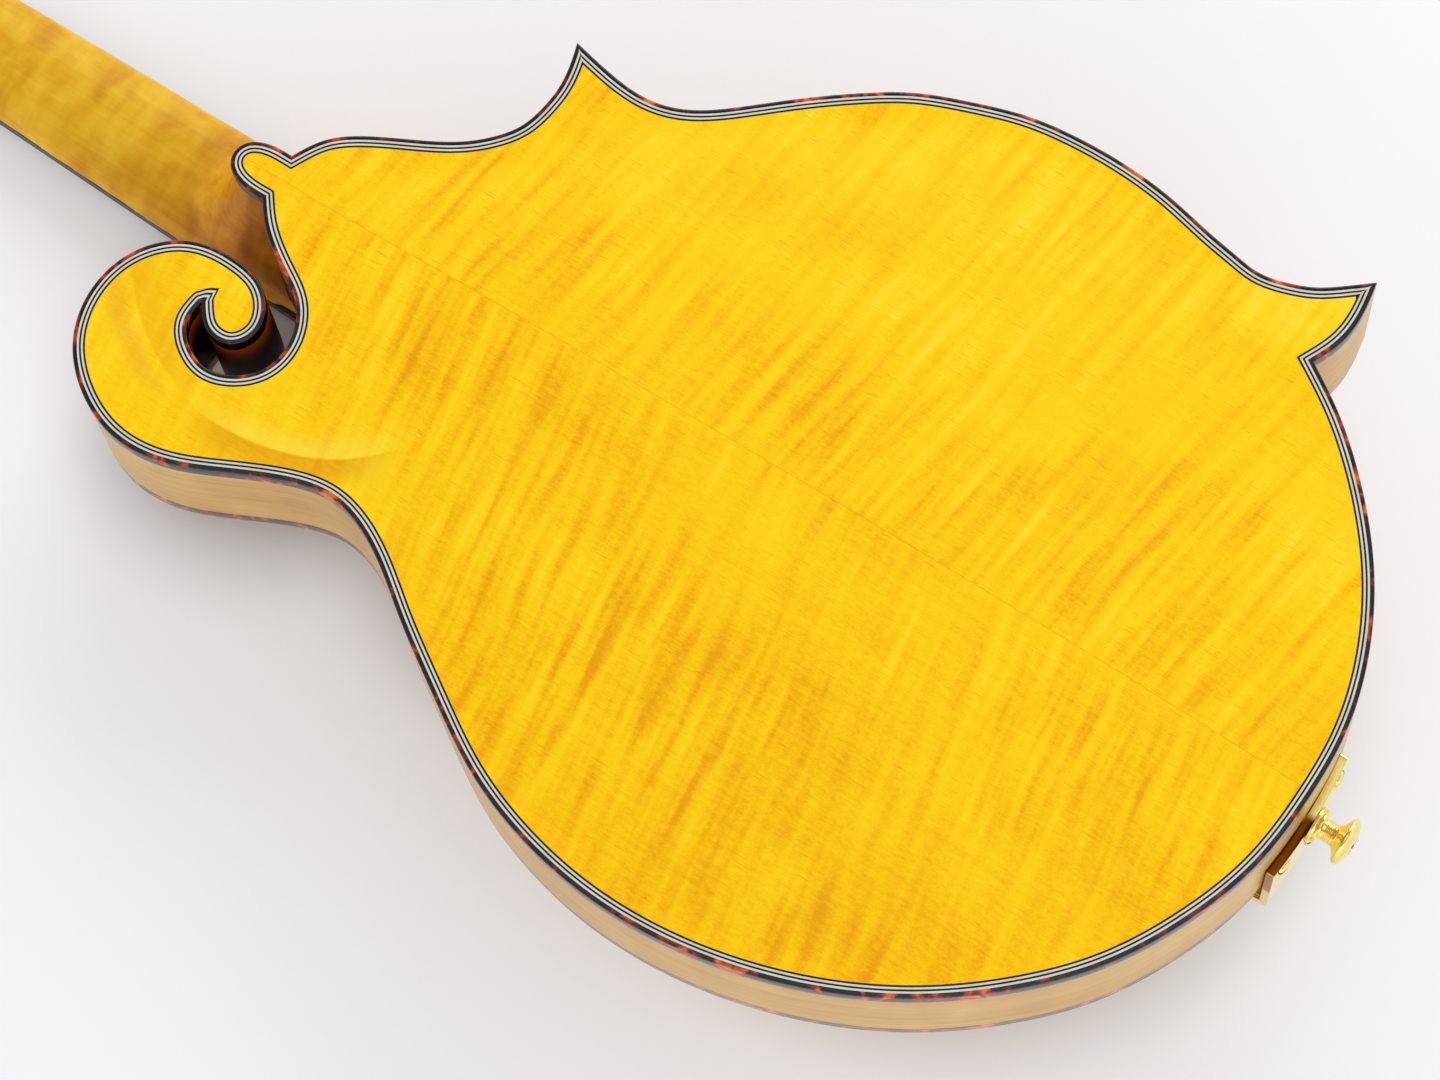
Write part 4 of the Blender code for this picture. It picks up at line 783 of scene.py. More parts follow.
def band(edge, profile):
    """A closed band round the body, of the cross-section given as (inset, z) pairs."""
    cache = {}
    for d, _ in profile:
        if d not in cache:
            cache[d] = edge.ring(d) if d >= 0 else edge.p + edge.v * d
    section = [[(*cache[d][i], z) for d, z in profile] for i in range(edge.n)]
    return loops(section)


def rounded(top, out):
    """The tortoise's cross-section: its outer corner eased, its side flush with the rib."""
    s = out
    return [(1.30, top - s * SIDE_BINDING), (0.0, top - s * SIDE_BINDING), (0.0, top - s * 0.55), (0.05, top - s * 0.33), (0.16, top - s * 0.16), (0.33, top - s * 0.05), (0.55, top), (1.30, top)]


for tag, edge, top, out in (("back", back_edge, DEPTH, 1), ("face", face_edge, 0.0, -1)):
    node = "binding_back" if tag == "back" else "binding_top"
    lines = "purfling_back" if tag == "back" else "purfling_top"
    piece(f"{tag}_tortoise", *band(edge, rounded(top, out)), TORTOISE if tag == "back" else TORTOISE_FACE, smooth=50, instead=[node], slot="tortoise")
    for k, (a, b, finish, name) in enumerate(STRIPS):
        piece(f"{tag}_{name}", *band(edge, [(a, top - out * 2.0), (b, top - out * 2.0), (b, top), (a, top)]), finish, smooth=50, instead=[lines] if k == 0 else (), slot="purfling")


# ---------------------------------------------------------------- plates
def f_hole(side, extra=0.0):
    """Outline of an f-hole: two round eyes joined by a long slot on an S curve, with small notches at its middle."""
    left, right = [], []
    for k in range(97):
        s = -1 + 2 * k / 96
        x = 178 + 39 * s
        y = 57 + 6.5 * s + 7.5 * math.sin(math.pi * s)
        along = Vector((39, 6.5 + 7.5 * math.pi * math.cos(math.pi * s))).normalized()
        half = 1.2 + 1.3 * (1 - s * s)
        for centre, r in ((-0.9, 4.6), (0.9, 3.8)):
            reach = abs(s - centre) * 39
            if reach < r:
                half = max(half, math.sqrt(r * r - reach * reach))
        half = max(half + extra, 0.12)
        left.append((x - along.y * half, side * (y + along.x * half)))
        right.append((x + along.y * half, side * (y - along.x * half)))
    ring = left + right[::-1]
    return ring if side > 0 else ring[::-1]


def plate(name, edge, crown, top, out, holes, finish, under, step=2.4, **more):
    """A carved plate: its outer surface, an inner one, and the walls at its edge and holes."""
    rim = edge.clean(PLATE_IN)
    gx, gy = np.meshgrid(np.arange(2, 364, step), np.arange(-134, 130, step * 0.87), indexing="ij")
    gx = gx + (np.arange(gx.shape[1]) % 2)[None] * step / 2
    x, y = gx.ravel(), gy.ravel()
    keep = edge.holds(x, y)
    x, y = x[keep], y[keep]
    keep = edge.distance(np.column_stack([x, y])) > PLATE_IN + step * 0.55
    x, y = x[keep], y[keep]
    loopsets = [[Vector(q) for q in rim]] + [[Vector(q) for q in hole] for hole in holes]
    for hole in holes:
        h = np.array(hole)
        d = np.sqrt(((np.column_stack([x, y])[:, None] - h[None]) ** 2).sum(2)).min(1)
        cross = np.zeros(len(x), bool)
        for (x1, y1), (x2, y2) in zip(h, np.roll(h, -1, 0)):
            if y1 != y2:
                cross ^= ((y1 > y) != (y2 > y)) & (x < (x2 - x1) * (y - y1) / (y2 - y1) + x1)
        x, y = x[(d > 1.0) & ~cross], y[(d > 1.0) & ~cross]
    flat, polys = [], []
    for ring in loopsets:
        polys.append(list(range(len(flat), len(flat) + len(ring))))
        flat += ring
    flat += [Vector((float(a), float(b))) for a, b in zip(x, y)]
    edges = [(ring[i], ring[(i + 1) % len(ring)]) for ring in polys for i in range(len(ring))]
    verts, made, tris, origin = (lambda r: (r[0], r[1], r[2], r[3]))(geometry.delaunay_2d_cdt(flat, edges, [], 0, 1e-6))
    p = np.array([tuple(v) for v in verts])
    tri = np.array([list(t) for t in tris if len(t) == 3])
    c = p[tri].mean(1)
    q = np.array([tuple(v) for v in rim])
    keep = np.zeros(len(c), bool)
    for ring in loopsets:
        h = np.array([tuple(v) for v in ring])
        for (x1, y1), (x2, y2) in zip(h, np.roll(h, -1, 0)):
            if y1 != y2:
                keep ^= ((y1 > c[:, 1]) != (y2 > c[:, 1])) & (c[:, 0] < (x2 - x1) * (c[:, 1] - y1) / (y2 - y1) + x1)
    tri = tri[keep]
    rise = crown * arch(p[:, 0], p[:, 1])
    outer = np.column_stack([p, top + out * rise])
    depth = np.clip((edge.distance(p) - PLATE_IN) / 10, 0, 1)
    depth = depth * depth * (3 - 2 * depth)
    low = -4.0 + (np.maximum(rise - 3.6, -4.0) + 4.0) * depth if under else np.full(len(p), -4.0)
    low = np.where(edge.distance(p) < PLATE_IN + 0.01, -2.2, low)
    inner = np.column_stack([p, top + out * np.minimum(low, rise - 1.8)])
    n = len(p)
    points = [tuple(v) for v in outer] + [tuple(v) for v in inner]
    faces = [tuple(t) for t in tri] + [tuple(int(i) + n for i in t[::-1]) for t in tri]
    count = {}
    for t in tri:
        for a, b in ((t[0], t[1]), (t[1], t[2]), (t[2], t[0])):
            count[(int(a), int(b))] = True
    for a, b in list(count):
        if (b, a) not in count:
            faces.append((b, a, a + n, b + n))
    return piece(name, points, faces, finish, smooth=55, **more)


plate("back_carved", back_edge, BACK_ARCH, DEPTH, 1, [], MAPLE_BACK, True, instead=["back_plate"], slot="maple_back")
levelled(bpy.data.objects["back_carved"])
plate("face_carved", face_edge, TOP_ARCH, 0.0, -1, [f_hole(1), f_hole(-1)], SPRUCE, True, step=3.0, instead=["top_plate"], slot="spruce")

# ---------------------------------------------------------------- sides
RIB_LOW, RIB_HIGH = SIDE_BINDING, DEPTH - SIDE_BINDING


def rib(name, start, stop, node):
    i, j = face_edge.at[start], face_edge.at[stop]
    if j <= i:
        j += face_edge.n
    out, inn = face_edge.ring(0.0), face_edge.ring(2.0)
    section = []
    for k in range(i, j + 1):
        (a, b), (c, d) = out[k % face_edge.n], inn[k % face_edge.n]
        section.append([(a, b, RIB_LOW), (c, d, RIB_LOW), (c, d, RIB_HIGH), (a, b, RIB_HIGH)])
    points, faces = loops(section, closed=False)
    piece(name, points, faces, MAPLE_SIDE, smooth=50, instead=[node], slot="maple_side")


rib("side_bass", "tail", "heel_bass", "rim_bass")
rib("side_shoulder", "heel_treble", "upper_tip", "rim_shoulder")
rib("side_waist", "upper_tip", "lower_tip", "rim_waist")
rib("side_lower", "lower_tip", "tail", "rim_lower")

# ---------------------------------------------------------------- neck and head
NUT_WIDTH, BOARD_TAPER, NECK_TOP = 27.0, 0.0539, 4.7
OVERLAY, HEAD_BACK = 2.0, 16.0
POST_ALONG, POST_SIDE = (31.0, 54.0, 77.0, 100.0), 16.0
PLATE_Z = HEAD_BACK + 0.3
WORM_OFF, WORM_Z = 8.4, HEAD_BACK + 0.3 + 1.2 + 0.3 + 1.9


def board_half(x):
    return (NUT_WIDTH + (TO_NUT - x) * BOARD_TAPER) / 2


def neck_ring(x, depth, half, count=28, power=0.85):
    ring = [(x, half, NECK_TOP)]
    for k in range(1, count):
        a = math.pi * k / count
        ring.append((x, half * math.copysign(abs(math.cos(a)) ** 0.9, math.cos(a)), NECK_TOP + 1.2 + (depth - 1.2) * math.sin(a) ** power))
    ring.append((x, -half, NECK_TOP))
    return ring


def through(table, at):
    """Each column of a table read at a place between its rows, on a smooth curve through them."""
    rows = np.array(table, float)
    s = rows[:, 0]
    out = []
    for column in rows.T[1:]:
        slope = np.gradient(column, s)
        i = int(np.clip(np.searchsorted(s, at) - 1, 0, len(s) - 2))
        h = s[i + 1] - s[i]
        u = min(max((at - s[i]) / h, 0), 1)
        out.append((2 * u**3 - 3 * u * u + 1) * column[i] + (u**3 - 2 * u * u + u) * h * slope[i] + (3 * u * u - 2 * u**3) * column[i + 1] + (u**3 - u * u) * h * slope[i + 1])
    return out


HEAD_EDGE = [(0, 14.2), (7, 16.5), (15, 21.5), (24, 26.0), (45, 28.0), (72, 28.5), (98, 27.0), (116, 22.5), (126, 20.0), (133, 14.0), (137, 7.0), (138, 0)]


def head_outline(shrink=0.0, start=0.0, step=2.0):
    side = [(max(x, start), max(y - shrink, 0)) for x, y in spline(HEAD_EDGE, lambda x, y: step)]
    side[-1] = (side[-1][0], 0.0)
    return side + [(x, -y) for x, y in side[-2::-1]]


def blank(name, shape, matrix=None):
    """A bare mesh in the body's frame, in metres, for modelling with."""
    mesh = bpy.data.meshes.new(name)
    m = matrix or Matrix()
    mesh.from_pydata([tuple((m @ Vector(p)) * 0.001) for p in shape[0]], [], [list(f) for f in shape[1]])
    bm = bmesh.new()
    bm.from_mesh(mesh)
    bmesh.ops.remove_doubles(bm, verts=bm.verts, dist=1e-6)
    bmesh.ops.recalc_face_normals(bm, faces=bm.faces)
    bm.to_mesh(mesh)
    bm.free()
    obj = bpy.data.objects.new(name, mesh)
    bpy.context.scene.collection.objects.link(obj)
    return obj


def baked(obj):
    """The mesh with its modifiers applied; the object goes."""
    bpy.context.view_layer.update()
    mesh = bpy.data.meshes.new_from_object(obj.evaluated_get(bpy.context.evaluated_depsgraph_get()))
    bpy.data.objects.remove(obj)
    return mesh


def cut(obj, cutter, how="DIFFERENCE"):
    b = obj.modifiers.new("cut", "BOOLEAN")
    b.operation, b.solver, b.object = how, "EXACT", cutter
    mesh = baked(obj)
    bpy.data.objects.remove(cutter)
    out = bpy.data.objects.new("cut", mesh)
    bpy.context.scene.collection.objects.link(out)
    return out


def finished(name, obj, finish, frame_matrix=None, smooth=35.0, instead=(), body=MAIN):
    """Turns a modelled mesh into a piece whose own axes are those of the frame given."""
    mesh = obj.data
    m = frame_matrix.copy() if frame_matrix else Matrix()
    m.translation = m.translation * 0.001
    mesh.transform(m.inverted())
    mesh.materials.clear()
    mesh.materials.append(finish)
    mesh.shade_smooth()
    mesh.set_sharp_from_angle(angle=math.radians(smooth))
    obj.name = name
    obj.matrix_world = BODY @ m
    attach(obj, body)
    if instead:
        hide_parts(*instead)
    return obj


shaft = [neck_ring(x, 15.5 - 2.0 * (x - 2) / (TO_NUT - 1), board_half(x) + 0.25) for x in np.linspace(-4, TO_NUT - 4, 60)]
volute = [neck_ring(TO_NUT - 8, 14.4, board_half(TO_NUT) + 0.1),
          [(TO_NUT + 14, y * 1.12, NECK_TOP + 3 + (z - NECK_TOP) * 0.9) for x, y, z in neck_ring(0, 15.4, board_half(TO_NUT))]]
HEEL = [(-10.5, 18.2, 362), (-2, 18.2, 366), (6, 17.0, 367), (12, 14.5, 360), (20, 11.5, 353.5), (30, 8.8, 350), (40.6, 7.3, 348.6)]
heel = []
for z in np.linspace(-10.5, 40.6, 40):
    half, nose = through(HEEL, z)
    ring = []
    for k in range(25):
        a = math.pi * (k / 24 - 0.5)
        ring.append((JOINT_X + 1 + (nose - JOINT_X - 1) * max(math.cos(a), 0) ** 0.7, half * math.sin(a), z))
    ring += [(JOINT_X - 12, half, z), (JOINT_X - 12, -half, z)]
    heel.append(ring)
riser = []
for x, z1 in ((-55, 9.4), (-30, 10.2), (2, 12.6), (6, 12.6)):
    h = board_half(x) - 1.2
    riser.append([(x, h, NECK_TOP), (x, h - 1, z1), (x, -h + 1, z1), (x, -h, NECK_TOP)])
wood = blank("wood", moved(rings(shaft), NECK))
for shape, m in ((rings(volute), NECK), (rings(heel), Matrix()), (rings(riser), NECK), (prism(head_outline(), OVERLAY + 0.3, HEAD_BACK), HEAD)):
    wood = cut(wood, blank("add", moved(shape, m)), "UNION")
remesh = wood.modifiers.new("remesh", "REMESH")
remesh.mode, remesh.voxel_size = "VOXEL", 0.0009
soft = wood.modifiers.new("soft", "SMOOTH")
soft.factor, soft.iterations = 0.5, 5
mesh = baked(wood)
bm = bmesh.new()
bm.from_mesh(mesh)
# blend the heel into the shaft, and the volute into the head
for centre, reach, rounds in ((NECK @ Vector((26, 0, 16)), 34.0, 26), (NECK @ Vector((TO_NUT + 4, 0, 16)), 22.0, 12)):
    near = [v for v in bm.verts if (v.co * 1000 - centre).length < reach and (NECK.inverted() @ (v.co * 1000)).z > NECK_TOP + 2.5]
    for _ in range(rounds):
        bmesh.ops.smooth_vert(bm, verts=near, factor=0.5, use_axis_x=True, use_axis_y=True, use_axis_z=True)
bm.to_mesh(mesh)
bm.free()
wood = bpy.data.objects.new("wood", mesh)
bpy.context.scene.collection.objects.link(wood)
cutters = [moved(boxed((-120, -40, -40), (TO_NUT + 0.2, 40, NECK_TOP + 0.05)), NECK),
           prism([tuple(q) for q in face_edge.ring(-0.3)[::2]], -0.4, DEPTH)]
for shape in cutters:
    wood = cut(wood, blank("cutter", shape))
holes = joined(*[moved(lathe([(3.3, 0), (3.3, 22)], 20), HEAD @ Matrix.Translation((s, side * POST_SIDE, 0))) for s in POST_ALONG for side in (1, -1)],
               moved(boxed((TO_NUT + 6.6, -5.4, -4), (TO_NUT + 27, 5.4, 15.6)), NECK),
               moved(boxed((TO_NUT - 2, -20, -8), (TO_NUT + 4.7, 20, NECK_TOP + 0.02)), NECK))
wood = cut(wood, blank("cutter", holes))
finished("neck_wood", wood, MAPLE_NECK, NECK, smooth=40, instead=["neck"])

overlay = blank("overlay", moved(prism(head_outline(0.0, 0.6), 0, OVERLAY), HEAD))
overlay = cut(overlay, blank("cutter", joined(*[moved(lathe([(3.3, -3), (3.3, 6)], 24), HEAD @ Matrix.Translation((s, side * POST_SIDE, 0))) for s in POST_ALONG for side in (1, -1)],
                                              moved(boxed((TO_NUT + 6.6, -5.4, -6), (TO_NUT + 27, 5.4, 15.6)), NECK))))
overlay = finished("head_overlay", overlay, EBONY, HEAD, smooth=30, instead=["headstock_overlay"])
b = overlay.modifiers.new("bevel", "BEVEL")
b.width, b.segments, b.limit_method = 0.0003, 2, "ANGLE"
for word, side in (("bass", 1), ("treble", -1)):
    for k, s in enumerate(POST_ALONG):
        piece(f"post_ferrule_{word}_{k + 1}", *lathe_ring([(3.05, 0.0), (4.5, 0.0), (4.5, -0.5), (4.1, -0.9), (3.4, -1.0), (3.05, -0.8)], 32), GOLD, HEAD @ Matrix.Translation((s, side * POST_SIDE, 0)))

cover_edge = spline([(4.0, 5.5), (9, 9.0), (18, 9.8), (26, 7.5), (33, 4.2), (39, 3.4), (42, 0)], lambda x, y: 0.8)
cover_edge[-1] = (cover_edge[-1][0], 0.0)
cover_ring = cover_edge + [(x, -y) for x, y in cover_edge[-2::-1]]
piece("truss_cover", *prism(cover_ring, -1.8, -0.3), DARK_PLASTIC, HEAD, bevel=0.35, instead=["truss_rod_cover"], slot="ebony")
for x in (8.0, 37.5):
    piece(f"cover_screw_{int(x)}", *screw_head(1.7, 0.7, 0.4), GOLD, HEAD @ Matrix.Translation((x, 0, -1.85)) @ Matrix.Rotation(math.pi, 4, "X"))

# ---------------------------------------------------------------- fingerboard and nut
fret_at = [TO_NUT - SCALE * (1 - 2 ** (-k / 12)) for k in range(1, 23)]
xs = np.linspace(-54.0, TO_NUT - 0.3, 40)
points, faces = rings([[(x, board_half(x), 4.4), (x, board_half(x), 0.3), (x, board_half(x) - 0.25, 0.05), (x, board_half(x) - 0.9, 0.0),
                        (x, -board_half(x) + 0.9, 0.0), (x, -board_half(x) + 0.25, 0.05), (x, -board_half(x), 0.3), (x, -board_half(x), 4.4)] for x in xs])
piece("board_ebony", points, faces, EBONY, NECK, instead=["fingerboard"], slot="ebony")
for k, x in enumerate(fret_at):
    h = board_half(x) - 0.35
    rows = []
    for y in [-h + 0.0, -h + 0.35] + list(np.linspace(-h + 1, h - 1, 9)) + [h - 0.35, h]:
        low_end = 0.55 if abs(y) > h - 0.1 else 0.12 if abs(y) > h - 0.5 else 0.0
        rows.append([(x + 0.5 * 1.1 * math.cos(a), y, 0.1 - (0.9 - low_end) * math.sin(a)) for a in np.linspace(0, math.pi, 9)] )
    piece(f"fret_{k + 1}", *rings(rows), NICKEL, NECK, smooth=60)
dots = [(5, 0), (7, 0), (10, 0), (12, -5.2), (12, 5.2), (15, 0), (17, 0), (19, 0)]
for number, y in dots:
    before = fret_at[number - 2]
    x = (before + fret_at[number - 1]) / 2
    piece(f"dot_{number}_{'a' if y >= 0 else 'b'}", *lathe([(2.0 if number < 16 else 1.6, -0.02), (2.0 if number < 16 else 1.6, 0.6)], 32), PEARL, NECK @ Matrix.Translation((x, y, 0)))

STRING_OVER_NUT, STRING_OVER_BRIDGE = 2.3, 4.6
COURSES = [("g", 1.02), ("d", 0.66), ("a", 0.41), ("e", 0.28)]
string_list = []
for c, (note, gauge) in enumerate(COURSES):
    for pair in (0, 1):
        string_list.append((note, pair, c, gauge / 2, 20.5 - c * 12.9 - pair * 2.4, 11.6 - c * 7.1 - pair * 1.9))


def notched(spots, start, stop, top, floor_of, width_of):
    """A line of (y, z) from start to stop with a rounded notch for each string; z is more negative further out."""
    line = [(start, top(start))]
    for y, r in sorted(spots, key=lambda s: s[0]):
        w = width_of(r)
        line.append((y - w, top(y)))
        for a in np.linspace(0, math.pi, 7):
            line.append((y - w * math.cos(a), floor_of(r) - w * (1 - math.sin(a))))
        line.append((y + w, top(y)))
    line.append((stop, top(stop)))
    return line


spots = [(y_nut, r) for note, pair, c, r, y_bridge, y_nut in string_list]
line = notched(spots, -NUT_WIDTH / 2 + 0.5, NUT_WIDTH / 2 - 0.5, lambda y: -1.95, lambda r: -STRING_OVER_NUT + 2 * r + 0.06, lambda r: r + 0.1)
line = [(y, max(z, -1.95) if z < -1.95 else z) for y, z in line]
profile = [(TO_NUT, 0.35), (TO_NUT + 0.5, 0.0), (TO_NUT + 1.8, 0.05), (TO_NUT + 3.2, 0.7), (TO_NUT + 4.4, 1.9)]
points, faces = rings([[(x, -NUT_WIDTH / 2, 4.4)] + [(x, -NUT_WIDTH / 2, -1.2 + ease)] + [(x, y, z + ease) for y, z in line] + [(x, NUT_WIDTH / 2, -1.2 + ease), (x, NUT_WIDTH / 2, 4.4)] for x, ease in profile])
piece("nut_bone", points, faces, BONE, NECK, smooth=40, instead=["nut"], slot="bone")

# ---------------------------------------------------------------- tuners
for word, side in (("bass", 1), ("treble", -1)):
    near, far = 9.0, 24.5
    edge_y = sorted((side * near, side * far))
    outline = [(23, edge_y[0]), (115, edge_y[0]), (115, edge_y[1]), (23, edge_y[1])]
    base_plate = blank("plate", moved(prism(outline, PLATE_Z, PLATE_Z + 1.2), HEAD))
    lugs = []
    for s in POST_ALONG:
        wx = s + WORM_OFF
        for at in (10.0, 22.6):
            y0, y1 = sorted((side * at, side * (at + 1.6)))
            half = [(wx - 2.6, PLATE_Z + 0.4), (wx - 2.6, WORM_Z)] + [(wx + 2.6 * math.cos(a), WORM_Z + 2.6 * math.sin(a)) for a in np.linspace(math.pi, 0, 13)] + [(wx + 2.6, PLATE_Z + 0.4)]
            lugs.append(rings([[(x, y0, z) for x, z in half], [(x, y1, z) for x, z in half]]))
    for lug in lugs:
        base_plate = cut(base_plate, blank("lug", moved(lug, HEAD)), "UNION")
    bores = [moved(lathe([(3.3, 12), (3.3, 20)], 24), HEAD @ Matrix.Translation((s, side * POST_SIDE, 0))) for s in POST_ALONG]
    bores += [moved(lathe([(1.45, 0), (1.45, 20)], 20), HEAD @ Matrix.Translation((s + WORM_OFF, side * 8.0, WORM_Z)) @ Matrix.Rotation(-side * math.pi / 2, 4, "X")) for s in POST_ALONG]
    for bore in bores:
        base_plate = cut(base_plate, blank("bore", bore))
    base_plate = finished(f"tuner_strip_{word}", base_plate, GOLD, HEAD, smooth=30, instead=[f"tuner_plate_{word}"])
    b = base_plate.modifiers.new("bevel", "BEVEL")
    b.width, b.segments, b.limit_method, b.angle_limit = 0.0002, 2, "ANGLE", math.radians(50)
    for x in (26.0, 42.8, 65.8, 88.8, 112.0):
        if min(abs(x - s) for s in POST_ALONG) > 4.0:
            piece(f"plate_screw_{word}_{int(x)}", *screw_head(1.5, 0.8, 0.45), GOLD, HEAD @ Matrix.Translation((x, side * (12.0 if x in (26.0, 112.0) else 20.6), PLATE_Z + 1.25)))
    for k, s in enumerate(POST_ALONG):
        at = HEAD @ Matrix.Translation((s, side * POST_SIDE, 0))
        z0, z1 = PLATE_Z + 1.5, PLATE_Z + 5.1
        ring = []
        for tooth in range(12):
            for part, r in ((-0.16, 4.95), (0.16, 4.95), (0.36, 5.75), (0.64, 5.75)):
                a = math.tau * (tooth + part) / 12
                ring.append((r * math.cos(a), r * math.sin(a)))
        gear = rings([[(p * 0.95, q * 0.95, z0) for p, q in ring], [(p, q, z0 + 0.3) for p, q in ring], [(p, q, z1 - 0.3) for p, q in ring], [(p * 0.95, q * 0.95, z1) for p, q in ring]])
        name = f"tuner_post_{word}_{k + 1}"
        piece(f"gear_{word}_{k + 1}", *gear, GOLD_SATIN, at, body=name, instead=[name], slot="gold")
        stem = lathe([(0.4, -9.4), (2.2, -9.4), (2.75, -9.1), (2.9, -8.7), (2.9, -7.5), (2.3, -6.9), (2.2, -6.0), (2.2, -5.2), (2.3, -4.3), (2.9, -3.8), (2.9, z0 + 0.5)], 32)
        piece(f"post_{word}_{k + 1}", *stem, GOLD, at, body=name, slot="gold")
        piece(f"gear_screw_{word}_{k + 1}", *screw_head(2.0, 0.9, 0.6), GOLD, at @ Matrix.Translation((0, 0, z1)), body=name)
        # the worm and its button
        x = s + WORM_OFF
        turn = HEAD @ Matrix.Translation((x, side * 10.0, WORM_Z)) @ Matrix.Rotation(-side * math.pi / 2, 4, "X")
        name = f"tuner_button_{word}_{k + 1}"
        shaft_shape = lathe([(0.6, -1.2), (1.05, -1.0), (1.05, 2.2), (1.9, 2.6), (1.9, 11.6), (1.05, 12.2), (1.05, 19.4), (1.9, 19.8), (2.5, 20.3), (2.9, 21.2), (3.0, 22.6), (2.6, 23.0), (2.2, 23.6)], 28)
        thread = coil(2.0, 2.8, 3.0, 0.55, 2.9, 5)
        piece(f"worm_{word}_{k + 1}", *joined(shaft_shape, thread), GOLD, turn, body=name, instead=[name], slot="gold")
        rows = []
        for u in np.linspace(0, 1, 21):
            z = 22.8 + 12.7 * u
            (r,) = through([(22.8, 3.0), (24.0, 5.9), (28.0, 7.55), (32.5, 7.1), (35.5, 4.4)], z)
            rows.append([(r * math.cos(math.tau * i / 32), (0.66 if u < 0.7 else 0.66 - 0.10 * (u - 0.7) / 0.3) * r * math.sin(math.tau * i / 32), z) for i in range(32)])
        piece(f"button_{word}_{k + 1}", *rings(rows), PEARL, turn, body=name, smooth=50, slot="pearl", bevel=0.5)

# ---------------------------------------------------------------- bridge
over_bridge = NECK @ Vector((-TO_BRIDGE, 0, -STRING_OVER_BRIDGE))
BRIDGE_TOP = over_bridge.z
BASE_TOP, SADDLE_FOOT, STUD_Y = -22.6, -27.0, 34.0
arch_at = lambda x, y: float(arch(x, y))


def foot(x, y):
    lift = 2.4 * (1 - min(max((abs(y) - 9) / 9, 0), 1) ** 2) if abs(y) < 18 else 0.0
    return -TOP_ARCH * arch_at(x, y) - 0.12 - lift


base_ys = np.linspace(-58, 58, 59)
levels = []
for x, ease in ((-5.5, 0.8), (-5.0, 0.2), (-3.5, 0.0), (3.5, 0.0), (5.0, 0.2), (5.5, 0.8)):
    low_line = [(BRIDGE_X + x, y, foot(BRIDGE_X + x, y)) for y in base_ys]
    top_line = []
    for y in base_ys[::-1]:
        (z,) = through([(0, BASE_TOP), (42, BASE_TOP), (47, BASE_TOP + 1.1), (52, BASE_TOP + 4.4), (58, foot(BRIDGE_X, 58) - 2.4)], abs(y))
        z = min(max(z, BASE_TOP), foot(BRIDGE_X + x, y) - 1.6)
        top_line.append((BRIDGE_X + x, y, z + ease))
    levels.append(low_line + top_line)
bridge_base = blank("base", rings(levels))
bridge_base = cut(bridge_base, blank("bores", joined(*[moved(lathe([(1.85, BASE_TOP - 3), (1.85, BASE_TOP + 4.4)], 24), Matrix.Translation((BRIDGE_X, s * STUD_Y, 0))) for s in (1, -1)])))
finished("bridge_foot", bridge_base, EBONY, smooth=40, instead=["bridge_base"])

spots = [(y_bridge, r) for note, pair, c, r, y_bridge, y_nut in string_list]


def crest(y):
    """Top of the saddle between the strings: a little above their inner sides."""
    near = min(spots, key=lambda s: abs(s[0] - y))
    return BRIDGE_TOP + 1.15 * near[1]


top_line = notched(spots, -24.0, 24.0, crest, lambda r: BRIDGE_TOP + 2 * r + 0.03, lambda r: r + 0.08)
wing = []
for y in np.linspace(46, 25, 14):
    (z,) = through([(25, BRIDGE_TOP + 1.4), (31, BRIDGE_TOP + 3.1), (38, SADDLE_FOOT - 3.6), (46, SADDLE_FOOT - 2.2)], y)
    wing.append((y, z))
section = [(-46, SADDLE_FOOT), (46, SADDLE_FOOT)] + wing + [(y, z) for y, z in top_line[::-1]] + [(-y, z) for y, z in wing[::-1]]
levels = []
for x, ease in ((-3.6, 1.5), (-2.7, 0.5), (-1.2, 0.0), (1.2, 0.0), (2.7, 0.5), (3.6, 1.5)):
    levels.append([(BRIDGE_X + x, y, z if z >= SADDLE_FOOT - 0.01 else min(z + ease, SADDLE_FOOT - 0.6)) for y, z in section])
saddle = blank("saddle", rings(levels))
saddle = cut(saddle, blank("bores", joined(*[moved(lathe([(1.85, SADDLE_FOOT - 4.6), (1.85, SADDLE_FOOT + 3)], 24), Matrix.Translation((BRIDGE_X, s * STUD_Y, 0))) for s in (1, -1)])))
finished("saddle_ebony", saddle, EBONY, smooth=40, instead=["bridge_saddle"], body="bridge_saddle")

